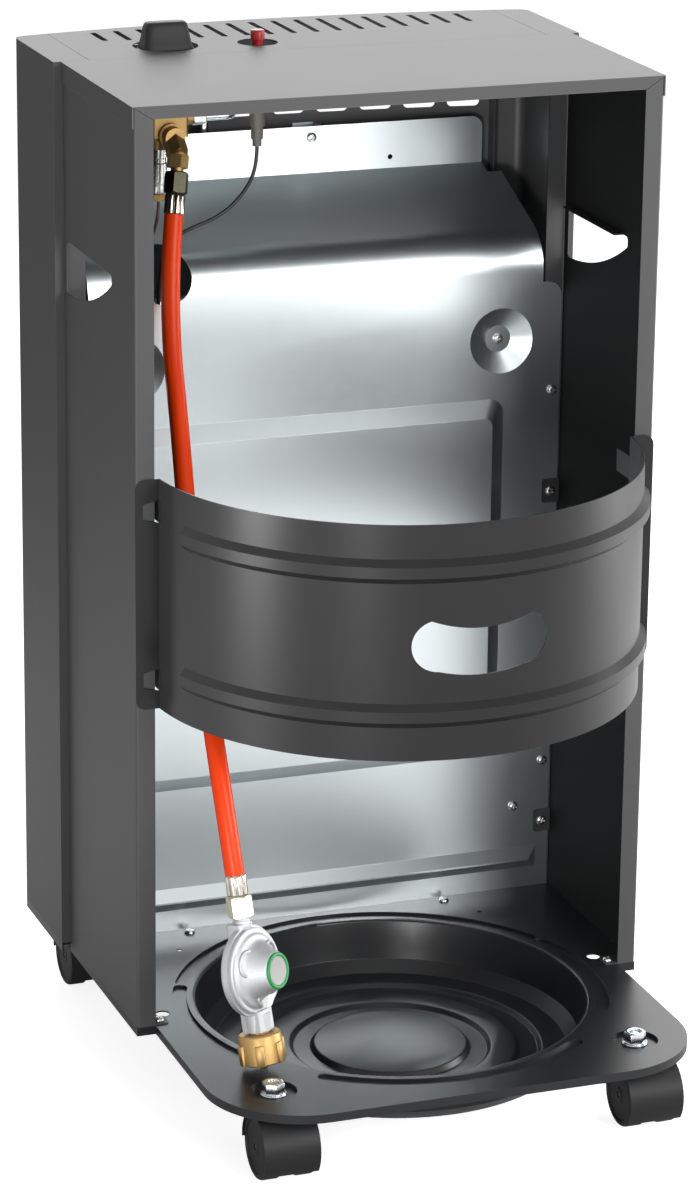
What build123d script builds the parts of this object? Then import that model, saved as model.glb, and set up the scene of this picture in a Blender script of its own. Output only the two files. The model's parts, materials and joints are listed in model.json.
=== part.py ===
"""Portable gas cabinet heater: a sheet steel housing on four castors, open at the rear for a gas bottle.

Body frame while modelling: X across the cabinet, Y = 0 in the plane of the open rear (minus Y is the
burner front), Z = 0 on top of the pressed base pan. Every piece is moved by PLACE when it is written.
"""
from build123d import *
from math import atan, cos, pi, radians, sqrt, tan
import os

os.makedirs("parts", exist_ok=True)

# ---------------------------------------------------------------- housing
BODY_W = 420.0  # rear housing, outside
SHELL_STEP = 6.0  # front shell stands out past the rear housing, each side
BODY_H = 720.0
BODY_D = 292.0  # rear plane to the front shell's side edge
BOW = 20.0  # how far the front bows out past its side edges
SEAM_D = 181.0  # rear plane to the seam between rear housing and front shell
SHEET = 1.0
CORNER_R = 10.0
POST_W = 16.0  # rear flange of each side panel
RAIL_H = 10.0  # rear flange of the top
LAP_H = 16.0  # side flanges of the rear top, lapped over the side panels
HEM = 17.0  # front flange of each side panel
RETURN_W = 20.0  # rear flange of the front shell
STRIP_W = 28.0  # part of the front shell that shows on top, beside the front top panel
SEAM_GAP = 0.4
TOP_DROP = 14.0  # front and rear flanges of the front top panel
TAB_W = 15.0
TAB_H = 20.0
TAB_Z = (58.0, 345.0)

# ---------------------------------------------------------------- openings in the housing
SLOT_N = 17
SLOT_SIDE = 35.6  # outermost slots, in from the front top panel's sides
SLOT_W = 5.0
SLOT_FRONT_GAP = 11.5  # front ends of the slots to the bowed edge
SLOT_LEN_MID = 56.0
SLOT_LEN_END = 36.0
HOLE_N = 10
HOLE_SIDE = 22.85  # outermost holes, in from the front panel's sides
HOLE_L = 27.0
HOLE_W = 8.5
HOLE_DROP = 74.0  # row under the top
LOW_HOLE_Z = (66.0, 90.0)
WINDOW_W = 260.0
WINDOW_Z = (205.0, 495.0)
WINDOW_R = 14.0
GRIP_FRONT = -174.0  # hand hole in the side panels, along Y
GRIP_NOSE = -57.0
GRIP_TOP = 583.0
GRIP_DEEP = 541.0
GRIP_LIP = 8.0

# ---------------------------------------------------------------- base pan
PAN_T = 1.2
SKIRT = 7.0
TONGUE_END = 195.0
TONGUE_R = 75.0
BOWL_SIDE = 39.0  # bowl's edge in from the tongue's side
BOWL_DEPTH = 41.0
BOWL_DRAFT = 5.5
BOWL_BEND = 9.5
RING_DEPTH = 3.2  # pressed rings in the bowl's floor
INNER_RING = (95.0, 75.0)  # the pressed rings' edges, in from the bowl's edge
OUTER_RING = (56.0, 35.0)
GROOVE_OUT = 11.5  # bowl's edge to the grooves' centre line
GROOVE_W = 11.0
GROOVE_DEPTH = 2.2
GROOVES = ((52.0, 128.0), (-23.0, 27.0), (153.0, 203.0), (207.0, 333.0))
POCKET_R = 18.0
POCKET_DEPTH = 3.0
LIFT_HOLE_SIDE = 28.0
LIFT_HOLE = (-21.0, 5.5)
POST_SCREW_SIDE = 21.0
FOOT_SCREW = (111.0, -171.0)
PILOT_HOLE = (130.0, -139.0, 2.3)

# ---------------------------------------------------------------- castors
REAR_STEM = (47.0, 53.0)  # in from the tongue's side and end
FRONT_STEM = (33.0, 34.0)  # in from the housing's side and from the front shell's edge
WHEEL_R = 25.0
WHEEL_W = 16.0
HOOD_R = 27.0
HOOD_W = 44.0
HOOD_T = 1.4
WEB_W = 10.0
TRAIL = 19.0
BASE = 60.0  # floor to the top of the pan
AXLE_R = 2.5
STEM_R = 4.0
STEM_TOP = 8.5
NECK_R = 3.4
RUN_FIT = 0.05
NUT_AF = 13.0
NUT_H = 6.5
WASHER_R = 12.0
WASHER_T = 1.6

# ---------------------------------------------------------------- heat shield
SHIELD_T = 0.8
SHIELD_SIDE = 3.5  # shield's edge in from the housing's side
SHIELD_TOP = 33.0  # top of its flat corners, below the hood's bend
PANEL_BOSS_SIDE = 48.5  # the next few are in from the shield's side or top
PANEL_BOSS_TOP = 94.0
PANEL_BOSS_FOOT = 121.6
PANEL_BOSS_RISE = 10.0
PANEL_BOSS_BEVEL = 13.0
RIB_Z = 26.8
RIB_W = 19.0
RIB_SIDE = 10.5
RIB_RISE = 8.0
DISH_SIDE = 51.5
DISH_TOP = 46.0
DISH_R = 28.0
DISH_DEPTH = 8.0
HOOD_SIDE = 16.5
HOOD_BEND_R = 35.0
HOOD_SLOPE = 22.0
STRIP_BACK = 3.4  # white strip behind the front shell's side edge
STRIP_DROP = 85.0  # top of the housing down to the strip
STRIP_H = 38.4
STRIP_SIDE = 12.0  # in from the hood's side
PORT_X = 126.0  # round port that the leads go through
PORT_DROP = 51.6  # below the strip
PORT_R = 21.0
SCREW_R = 2.0
SCREW_HEAD_R = 4.2
SCREW_HEAD_H = 2.6
SCREW_FIT = 0.1
EDGE_SCREW_SIDE = 6.5
EDGE_SCREW_Z = (58.0, 111.0, 345.0, 430.0)
LOW_SCREW_SIDE = 31.5
LOW_SCREW_Z = 73.0
STRIP_SCREW_X = -30.0
STRIP_SCREW_DROP = 9.0
FREE_HOLE = (-98.0, 29.0)

# ---------------------------------------------------------------- bottle belt
BELT_SIDE = 18.5  # belt's outside in from the housing's side
BELT_CENTRE = -14.5
BELT_Z = (260.0, 440.0)
BELT_T = 1.0
BELT_RIB_INSET = 35.0
BELT_RIB_W = 18.0
BELT_RIB_RISE = 5.0
BELT_RIB_END = 17.0  # degrees left plain at each end
HAND_HALF = 53.0
HAND_Z = (324.0, 367.0)
HAND_DIP = 7.0
TONGUE_Z = ((274.0, 291.5), (406.0, 424.0))
TONGUE_IN = 24.0
LANCE = 13.0  # width lanced out of the flange for each hook
BELT_SEAT = 0.3

# ---------------------------------------------------------------- controls
KNOB_SIDE = 96.0
KNOB_Y = -222.5
KNOB_HOLE_R = 25.5
KNOB_R = 22.5
KNOB_SINK = 4.0
KNOB_RISE = 19.0
WING_L = 41.0
WING_T = 25.0
WING_TAPER = 8.0
STEM_KNOB_R = 3.0
PLUNGER_R = 7.0
NECK_OUT_R = 9.5
KNOB_PUSH = 3.0
BUTTON_SIDE = 73.0  # from the knob's axis
BUTTON_Y = -216.0
BUTTON_HOLE_R = 16.0
BUTTON_R = 5.5
BUTTON_RISE = 10.0
BUTTON_PUSH = 5.0
BUTTON_STEM_R = 4.0
BRACKET_DROP = 22.0  # top of the housing down to the bracket
BRACKET_T = 1.5
IGNITER_R = 6.1

# ---------------------------------------------------------------- gas train
VALVE_SEAT = 10.0  # heights in the gas train are drops below the bracket
VALVE_R = 12.0
VALVE_L = 58.0
VALVE_BLOCK = (48.0, 22.0)
INLET_DROP = 46.0
ELBOW_FACE = -206.0
BRANCH_DROP = 35.0
MAGNET_R = 7.0
MAGNET_L = 36.0
IGNITER_STEPS = (60.0, 54.3, 44.0, 22.0)
ROUTE_BRACKET_Z = 698.0  # height of the bracket for which the routes are drawn
PIPE_R = 4.0
PIPE_NUT_AF = 12.0
ELBOW_AF = 15.0
HOSE_R = 7.5
HOSE_BORE_R = 4.0
HOSE_ROUTE = [  # x from the knob's axis, y and z
    (7.6, -178.0, 596.3),
    (15.0, -165.5, 555.0),
    (20.7, -143.0, 498.4),
    (23.0, -122.0, 462.5),
    (28.0, -90.0, 411.4),
    (34.0, -58.0, 365.0),
    (42.0, 5.0, 282.0),
    (46.1, 63.6, 200.7),
    (41.4, 75.0, 149.0),
]
FERRULE_R = 8.3
FERRULE_L = 16.0
HOSE_NUT_AF = 17.0
HOSE_NUT_L = 17.5
REG_FACE = (-0.61, 0.77, 0.22)  # the way that the regulator's bonnet faces
REG_R = 34.5
REG_BODY_T = 13.0
REG_SPAN = 151.6  # foot of the spigot to the end of the hose
REG_CENTRE = 77.0
WING_NUT_R = 16.5
WING_NUT_H = 23.0
LUG_N = 6
OUTLET_R = 9.5
THREAD_R = 10.9  # bottle thread, W21.8
SPIGOT_R = 8.0
IGNITER_ROUTE = [  # x from the knob's axis, y and z
    (-73.0, -216.0, 638.0),
    (-73.0, -216.0, 618.0),
    (-58.0, -214.0, 597.0),
    (-39.0, -211.0, 584.0),
    (-15.0, -208.0, 577.5),
    (6.0, -200.0, 570.0),
    (12.0, -196.0, 552.0),
    (10.0, -212.0, 520.0),
    (4.0, -226.0, 470.0),
    (0.0, -232.0, 412.0),
    (-4.0, -238.0, 356.0),
    (-4.0, -238.0, 302.0),
]
IGNITER_LEAD_R = 1.5
SENSOR_ROUTE = [  # x from the knob's axis, y and z
    (6.0, -222.5, 598.0),
    (6.0, -222.5, 586.0),
    (13.0, -213.0, 575.0),
    (20.0, -202.0, 566.0),
    (23.0, -197.0, 548.0),
    (22.0, -212.0, 523.0),
    (18.0, -226.0, 486.0),
    (13.0, -236.0, 438.0),
    (8.0, -242.0, 388.0),
    (8.0, -242.0, 340.0),
]
SENSOR_LEAD_R = 1.2

# ---------------------------------------------------------------- burner
BURNER_R = 15.0
BURNER_SIDE = 80.0  # burner's end in from the housing's side
BURNER_Y = -245.0
BURNER_Z = 225.0
PORT_N = 24
PORT_PITCH = 10.0
PIPE_SIDE = 50.0
GUARD_N = 13
GUARD_PITCH = 20.0
GUARD_WIRE_R = 1.5
GUARD_BAR_R = 2.0
GUARD_BACK = 13.0  # behind the front panel
FIT_GAP = 0.3

# ---------------------------------------------------------------- worked out from the above
SHELL_W = BODY_W + 2 * SHELL_STEP
SEAM_Y = -SEAM_D
APEX_Y = -(BODY_D + BOW)
BOW_R = ((SHELL_W / 2) ** 2 + BOW**2) / (2 * BOW)
BOW_CENTRE = APEX_Y + BOW_R
SIDE_X = BODY_W / 2 - SHEET  # outer face of the side panels, under the top's side flanges
POST_IN = BODY_W / 2 - POST_W
STRIP_X = SHELL_W / 2 - STRIP_W
SLOT_PITCH = 2 * (STRIP_X - SLOT_SIDE) / (SLOT_N - 1)
HOLE_PITCH = 2 * (STRIP_X - HOLE_SIDE) / (HOLE_N - 1)
TONGUE_W = BODY_W - 2 * POST_W
BOWL_R = TONGUE_W / 2 - BOWL_SIDE
RING_IN = tuple(BOWL_R - d for d in INNER_RING)
RING_OUT = tuple(BOWL_R - d for d in OUTER_RING)
GROOVE_R = BOWL_R + GROOVE_OUT
POST_SCREW = (BODY_W / 2 - POST_SCREW_SIDE, -8.0)
AXLE_Z = WHEEL_R - BASE
SHIELD_FACE = SEAM_Y + SHIELD_T
SHIELD_W = BODY_W - 2 * SHIELD_SIDE
STRIP_Y = -(BODY_D - STRIP_BACK)
STRIP_TOP = BODY_H - STRIP_DROP
STRIP_BOTTOM = STRIP_TOP - STRIP_H
HOOD_BACK = SEAM_Y + SHIELD_T / 2
HOOD_BEND_Z = STRIP_BOTTOM - (HOOD_BACK - STRIP_Y) * tan(radians(HOOD_SLOPE))
SHIELD_H = HOOD_BEND_Z - SHIELD_TOP
HOOD_HALF = SHIELD_W / 2 - HOOD_SIDE
STRIP_HALF = HOOD_HALF - STRIP_SIDE
PANEL_BOSS_W = SHIELD_W - 2 * PANEL_BOSS_SIDE
PANEL_BOSS_Z = (PANEL_BOSS_FOOT, SHIELD_H - PANEL_BOSS_TOP)
RIB_L = SHIELD_W - 2 * RIB_SIDE
DISH_X = SHIELD_W / 2 - DISH_SIDE
DISH_Z = SHIELD_H - DISH_TOP
PORT_Z = STRIP_BOTTOM - PORT_DROP
EDGE_SCREW_X = SHIELD_W / 2 - EDGE_SCREW_SIDE
LOW_SCREW = (SHIELD_W / 2 - LOW_SCREW_SIDE, LOW_SCREW_Z)
STRIP_SCREW = (STRIP_SCREW_X, STRIP_TOP - STRIP_SCREW_DROP)
BELT_R = BODY_W / 2 - BELT_SIDE
KNOB = (BODY_W / 2 - KNOB_SIDE, KNOB_Y)
BUTTON = (KNOB[0] - BUTTON_SIDE, BUTTON_Y)
BRACKET_Z = BODY_H - BRACKET_DROP
VALVE_TOP = BRACKET_Z - VALVE_SEAT
VALVE_LOW = BRACKET_Z - VALVE_L
VALVE_Z = BRACKET_Z - INLET_DROP
BRANCH_Z = BRACKET_Z - BRANCH_DROP
MAGNET_Z = (VALVE_LOW - MAGNET_L, VALVE_LOW)
BURNER_HALF = BODY_W / 2 - BURNER_SIDE
PIPE_X = BODY_W / 2 - PIPE_SIDE
REAR_SHIFT = -(APEX_Y + TONGUE_END) / 2
PLACE = Pos(0, REAR_SHIFT, BASE)
REAR_AT = (TONGUE_W / 2 - REAR_STEM[0], TONGUE_END - REAR_STEM[1])
FRONT_AT = (BODY_W / 2 - FRONT_STEM[0], FRONT_STEM[1] - BODY_D)
STEMS = [(side * x, y) for x, y in (REAR_AT, FRONT_AT) for side in (1, -1)]
PARTS = {}


def fitted(route, hung):
    """Route moved with the knob: its first points hang from the bracket, the rest close up towards its end."""
    lift = BRACKET_Z - ROUTE_BRACKET_Z
    held = route[hung - 1][2]
    foot = route[-1][2]
    shares = [1 if i < hung else (z - foot) / (held - foot) for i, (x, y, z) in enumerate(route)]
    return [(KNOB[0] + x, y, z + lift * share) for (x, y, z), share in zip(route, shares)]


HOSE = fitted(HOSE_ROUTE, 2)
IGNITER_LEAD = fitted(IGNITER_ROUTE, 9)
SENSOR_LEAD = fitted(SENSOR_ROUTE, 7)


# ---------------------------------------------------------------- drawing helpers
def box(x0, x1, y0, y1, z0, z1):
    """Box between two corners."""
    centre = Pos((x0 + x1) / 2, (y0 + y1) / 2, (z0 + z1) / 2)
    return centre * Box(x1 - x0, y1 - y0, z1 - z0)


def upright(sketch, z0, z1):
    """Plan sketch raised from z0 to z1."""
    return extrude(Plane.XY.offset(z0) * sketch, z1 - z0)


def facing(sketch, y0, y1):
    """Sketch seen from the front (x, z), given depth from y0 to y1."""
    return extrude(Plane.XZ.offset(-y1) * sketch, y1 - y0)


def sideways(sketch, x0, x1):
    """Side view sketch (y, z), given width from x0 to x1."""
    return extrude(Plane.YZ.offset(x0) * sketch, x1 - x0)


def outline(*points):
    """Closed face with straight sides."""
    return make_face(Polyline(*points, close=True))


def rod(radius, start, end):
    """Round bar between two points."""
    path = Line(start, end)
    return sweep(Plane(origin=start, z_dir=path % 0) * Circle(radius), path)


def hexagon(flats, start, end):
    """Hexagonal bar between two points."""
    path = Line(start, end)
    shape = RegularPolygon(flats / 2, 6, major_radius=False)
    return sweep(Plane(origin=start, z_dir=path % 0) * shape, path)


def both_sides(part):
    """A piece of the +X side together with its mirror image."""
    return part + mirror(part, about=Plane.YZ)


def shell_region(inset, rear):
    """Plan area inside the front shell's bowed outline, set in by inset, back to the line y = rear."""
    half = SHELL_W / 2 - inset
    radius = BOW_R - inset
    edge_y = BOW_CENTRE - sqrt(radius**2 - half**2)
    lines = Line((-half, rear), (-half, edge_y))
    lines += ThreePointArc((-half, edge_y), (0, BOW_CENTRE - radius), (half, edge_y))
    lines += Line((half, edge_y), (half, rear))
    lines += Line((half, rear), (-half, rear))
    area = make_face(lines)
    corners = area.vertices().filter_by(lambda v: v.Y < SEAM_Y - 50)
    return fillet(corners, CORNER_R - inset)


def bow_y(x, inset):
    """Where the bowed line, set in by inset, lies at x."""
    return BOW_CENTRE - sqrt((BOW_R - inset) ** 2 - x**2)


def screw_holes(places, radius, y0, y1):
    """Round holes along Y at (x, z) places."""
    holes = Sketch() + [Pos(x, z) * Circle(radius) for x, z in places]
    return facing(holes, y0, y1)


def keep(name, part):
    """Register a finished piece under its name."""
    PARTS[name] = part


# ---------------------------------------------------------------- base pan
def pan_area(inset):
    """Plan of the pan: under the front shell, under the rear housing, and the tongue behind it."""
    front = shell_region(inset, SEAM_Y)
    middle_half = SIDE_X - inset
    middle = outline(
        (-middle_half, SEAM_Y - 5), (middle_half, SEAM_Y - 5), (middle_half, -inset), (-middle_half, -inset)
    )
    half = TONGUE_W / 2 - inset
    end = TONGUE_END - inset
    tongue = outline((-half, -20), (half, -20), (half, end), (-half, end))
    tongue = fillet(tongue.vertices().filter_by(lambda v: v.Y > 0), TONGUE_R - inset)
    return front + middle + tongue


def press(pan, sketch, wider, depth):
    """Press a recess into the pan: sketch is the recess inside, wider is the same with the sheet's wall."""
    pan = pan + upright(wider, -depth - PAN_T, 0)
    return pan - upright(sketch, -depth, 1)


def bowl_section():
    """Centre line of the pressed bowl's sheet, from the rim to the middle."""
    top = -PAN_T / 2
    floor = top - BOWL_DEPTH
    foot = BOWL_R - BOWL_DRAFT
    ring = RING_DEPTH
    line = FilletPolyline(
        (BOWL_R + 3, top),
        (BOWL_R, top),
        (foot, floor + BOWL_BEND),
        (foot - BOWL_BEND, floor),
        (RING_OUT[1], floor),
        (RING_OUT[1] - ring, floor - ring),
        (RING_OUT[0] + ring, floor - ring),
        (RING_OUT[0], floor),
        (RING_IN[1], floor),
        (RING_IN[1] - ring, floor - ring),
        (RING_IN[0] + ring, floor - ring),
        (RING_IN[0], floor + 1),
        (0, floor + 1),
        radius=1.4,
    )
    return trace(line, PAN_T)


def make_base_pan():
    pan = upright(pan_area(0), -SKIRT, 0) - upright(pan_area(PAN_T), -SKIRT - 1, -PAN_T)
    pan -= upright(Circle(BOWL_R + 2.6), -SKIRT, 1)
    pan += revolve(Plane.XZ * bowl_section(), axis=Axis.Z)
    for start, end in GROOVES:
        arc = CenterArc((0, 0), GROOVE_R, start, end - start)
        pan = press(pan, SlotArc(arc, GROOVE_W), SlotArc(arc, GROOVE_W + 2 * PAN_T), GROOVE_DEPTH)
    for x, y in STEMS:
        pocket = Pos(x, y) * Circle(POCKET_R)
        wider = Pos(x, y) * Circle(POCKET_R + PAN_T)
        pan = press(pan, pocket, wider, POCKET_DEPTH)
        pan -= upright(Pos(x, y) * Circle(STEM_R + 0.2), -10, 1)
    for x, y, radius in ((BODY_W / 2 - LIFT_HOLE_SIDE, *LIFT_HOLE), PILOT_HOLE):
        for side in (1, -1):
            pan -= upright(Pos(side * x, y) * Circle(radius), -5, 1)
    for x, y in pan_screw_places():
        pan -= upright(Pos(x, y) * Circle(SCREW_R + SCREW_FIT), -5, 1)
    keep("base_pan", pan)


def pan_screw_places():
    """Screws that hold the shield's foot and the posts to the pan."""
    return [(side * x, y) for x, y in (FOOT_SCREW, POST_SCREW) for side in (1, -1)]


# ---------------------------------------------------------------- housing
def grip_area():
    """Hand hole in the side panels, drawn in (y, z)."""
    lines = Line((GRIP_FRONT, GRIP_TOP), (GRIP_FRONT, GRIP_DEEP))
    lines += ThreePointArc((GRIP_FRONT, GRIP_DEEP), (-118.0, 549.0), (GRIP_NOSE, GRIP_TOP - 8))
    lines += Line((GRIP_NOSE, GRIP_TOP - 8), (GRIP_NOSE, GRIP_TOP))
    lines += Line((GRIP_NOSE, GRIP_TOP), (GRIP_FRONT, GRIP_TOP))
    area = make_face(lines)
    return fillet(area.vertices(), 3.5)


def make_side_panel():
    """Left rear side: a folded C section with a mitred post flange, tabs and a hand hole."""
    half = SHEET / 2
    line = FilletPolyline(
        (POST_IN, -half),
        (SIDE_X - half, -half),
        (SIDE_X - half, SEAM_Y - half),
        (SIDE_X - HEM, SEAM_Y - half),
        radius=1.6,
    )
    panel = upright(trace(line, SHEET), 0, BODY_H - SHEET)
    foot_z = BODY_H - RAIL_H - SEAM_GAP
    mitre = outline((POST_IN - 9, foot_z - 5.625), (SIDE_X, foot_z + 9.4), (SIDE_X, BODY_H), (POST_IN - 9, BODY_H))
    panel -= facing(mitre, -SHEET - 1.0, 1)
    panel += box(SIDE_X - SHEET, SIDE_X, -SHEET - 1.2, -2 * SHEET, foot_z, BODY_H - SHEET)
    panel -= sideways(grip_area(), SIDE_X - 5, SIDE_X + 5)
    panel += box(
        SIDE_X - SHEET - GRIP_LIP, SIDE_X - SHEET / 2, GRIP_FRONT + 6, GRIP_NOSE - 8, GRIP_TOP, GRIP_TOP + SHEET
    )
    for z in TAB_Z:
        tab = Pos(SIDE_X - SHEET / 2 - TAB_W / 2, z) * RectangleRounded(TAB_W, TAB_H, 2)
        panel += facing(tab, SHIELD_FACE, SHIELD_FACE + SHEET)
    foot = Pos(POST_IN - 2, -8) * RectangleRounded(18, 15, 3)
    panel += upright(foot, 0, SHEET) & box(POST_IN - 12, SIDE_X - SHEET / 2, -16, 0, 0, SHEET)
    panel -= upright(Pos(*POST_SCREW) * Circle(SCREW_R + SCREW_FIT), -1, 3)
    panel -= screw_holes([(EDGE_SCREW_X, z) for z in EDGE_SCREW_Z], SCREW_R + SCREW_FIT, SEAM_Y - 5, SEAM_Y + 5)
    return panel


def make_rear_top():
    half = BODY_W / 2
    top = box(-half, half, SEAM_Y - SHEET, 0, BODY_H - SHEET, BODY_H)
    rail = outline(
        (-half, BODY_H), (half, BODY_H), (POST_IN, BODY_H - RAIL_H), (-POST_IN, BODY_H - RAIL_H)
    )
    top += facing(rail, -SHEET, 0)
    lap = box(SIDE_X, half, SEAM_Y - SHEET, 0, BODY_H - LAP_H, BODY_H)
    lap -= facing(
        outline((SIDE_X - 1, BODY_H - LAP_H - 1), (half + 1, BODY_H - LAP_H - 1), (half + 1, BODY_H - 20),
                (SIDE_X - 1, BODY_H - 20)), -SHEET, 0
    )
    top += both_sides(lap)
    hem_in = SIDE_X - HEM - SEAM_GAP
    top += box(-hem_in, hem_in, SEAM_Y - SHEET, SEAM_Y, BODY_H - TOP_DROP, BODY_H)
    keep("rear_top_panel", top)


def shell_skin():
    """Front shell as one skin: bowed front, sides, rear return and top."""
    rear = SEAM_Y - SHEET
    outer = upright(shell_region(0, rear), 0, BODY_H)
    return outer - upright(shell_region(SHEET, rear - SHEET), -1, BODY_H - SHEET)


def make_front_shell(skin):
    """Left part of the front shell: side, rounded front corner, rear return and strip on top."""
    reach = SHELL_W / 2 + 1
    part = skin & box(STRIP_X, reach, APEX_Y - 1, SEAM_Y, -1, BODY_H + 1)
    inner = SHELL_W / 2 - RETURN_W
    part -= box(STRIP_X - 1, inner, SEAM_Y - 3 * SHEET, SEAM_Y, -1, BODY_H - SHEET)
    part -= screw_holes([(EDGE_SCREW_X, z) for z in EDGE_SCREW_Z], SCREW_R + SCREW_FIT, SEAM_Y - 5, SEAM_Y)
    return part


def vent_slots():
    """Lens of slots across the top, longest in the middle."""
    slots = Sketch()
    span = (SLOT_N - 1) / 2 * SLOT_PITCH
    for i in range(SLOT_N):
        x = (i - (SLOT_N - 1) / 2) * SLOT_PITCH
        share = (x / span) ** 2
        length = SLOT_LEN_MID + (SLOT_LEN_END - SLOT_LEN_MID) * share
        front = bow_y(x, 0) + SLOT_FRONT_GAP
        slots += Pos(x, front + length / 2) * SlotOverall(length, SLOT_W, rotation=90)
    return slots


def make_front_top(skin):
    inner = STRIP_X - SEAM_GAP
    top = skin & box(-inner, inner, APEX_Y - 1, SEAM_Y, BODY_H - TOP_DROP, BODY_H + 1)
    top -= upright(vent_slots(), BODY_H - 5, BODY_H + 1)
    top -= upright(Pos(*KNOB) * Circle(KNOB_HOLE_R), BODY_H - 5, BODY_H + 1)
    top -= upright(Pos(*BUTTON) * Circle(BUTTON_HOLE_R), BODY_H - 5, BODY_H + 1)
    keep("front_top_panel", top)


def make_front_panel(skin):
    inner = STRIP_X - SEAM_GAP
    top_z = BODY_H - TOP_DROP - SEAM_GAP
    panel = skin & box(-inner, inner, APEX_Y - 1, -BODY_D + 20, 0, top_z)
    side = box(inner - SHEET, inner, bow_y(inner, SHEET) - 0.5, bow_y(inner, SHEET) + 12, 0, top_z)
    panel += both_sides(side)
    span = (HOLE_N - 1) / 2 * HOLE_PITCH
    for z in (BODY_H - HOLE_DROP, *LOW_HOLE_Z):
        row = Sketch() + [Pos(i * HOLE_PITCH - span, z) * SlotOverall(HOLE_L, HOLE_W) for i in range(HOLE_N)]
        panel -= facing(row, APEX_Y - 5, -BODY_D + 2)
    middle = (WINDOW_Z[0] + WINDOW_Z[1]) / 2
    window = Pos(0, middle) * RectangleRounded(WINDOW_W, WINDOW_Z[1] - WINDOW_Z[0], WINDOW_R)
    panel -= facing(window, APEX_Y - 5, -BODY_D + 2)
    keep("front_panel", panel)


def make_burner_guard():
    """Welded wire guard behind the burner window, bent to the front's bow."""
    inset = SHEET + GUARD_BACK + GUARD_WIRE_R
    low = WINDOW_Z[0] - 9
    high = WINDOW_Z[1] + 9
    guard = None
    for i in range(GUARD_N):
        x = (i - (GUARD_N - 1) / 2) * GUARD_PITCH
        wire = Pos(x, bow_y(x, inset), low) * Cylinder(
            GUARD_WIRE_R, high - low, align=(Align.CENTER, Align.CENTER, Align.MIN)
        )
        guard = wire if guard is None else guard + wire
    bar_inset = inset + GUARD_WIRE_R + GUARD_BAR_R - 0.7
    half = WINDOW_W / 2 + 8
    for z in (low + 3, (low + high) / 2, high - 3):
        path = ThreePointArc(
            (-half, bow_y(half, bar_inset), z), (0, bow_y(0, bar_inset), z), (half, bow_y(half, bar_inset), z)
        )
        guard += sweep(Plane(origin=path @ 0, z_dir=path % 0) * Circle(GUARD_BAR_R), path)
        for x in (-half, half):
            front = bow_y(x, SHEET) + FIT_GAP + 0.2
            guard += rod(GUARD_BAR_R, (x, bow_y(x, bar_inset), z), (x, front, z))
            guard += Pos(x, bow_y(x, bar_inset), z) * Sphere(GUARD_BAR_R)
    keep("burner_guard", guard)


# ---------------------------------------------------------------- heat shield
def embossed(width, height, bevel, rise, z, corner):
    """Solid frustum standing out of the shield towards the bottle, and the hollow behind it."""
    t = SHIELD_T
    base = RectangleRounded(width, height, corner) if corner else Rectangle(width, height)
    crown_w = width - 2 * bevel
    crown_h = height - 2 * bevel
    crown = RectangleRounded(crown_w, crown_h, corner * 0.6) if corner else Rectangle(crown_w, crown_h)
    inner_base = RectangleRounded(width - 2 * t, height - 2 * t, corner) if corner else Rectangle(
        width - 2 * t, height - 2 * t
    )
    slim_w = crown_w - t
    slim_h = crown_h - t * 0.6
    inner_crown = RectangleRounded(slim_w, slim_h, corner * 0.6) if corner else Rectangle(slim_w, slim_h)
    at = Pos(0, z)
    outer = loft([Plane.XZ.offset(-SHIELD_FACE) * at * base, Plane.XZ.offset(-SHIELD_FACE - rise) * at * crown])
    inner = loft([Plane.XZ.offset(-SEAM_Y) * at * inner_base, Plane.XZ.offset(-SEAM_Y - rise) * at * inner_crown])
    return outer, inner


def shield_hood():
    """Side view of the hood: up from the panel, over a wide bend and forward to the strip."""
    line = FilletPolyline(
        (HOOD_BACK, SHIELD_H - 5), (HOOD_BACK, HOOD_BEND_Z), (STRIP_Y, STRIP_BOTTOM), radius=HOOD_BEND_R
    )
    return sideways(trace(line, SHIELD_T), -HOOD_HALF, HOOD_HALF)


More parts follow.
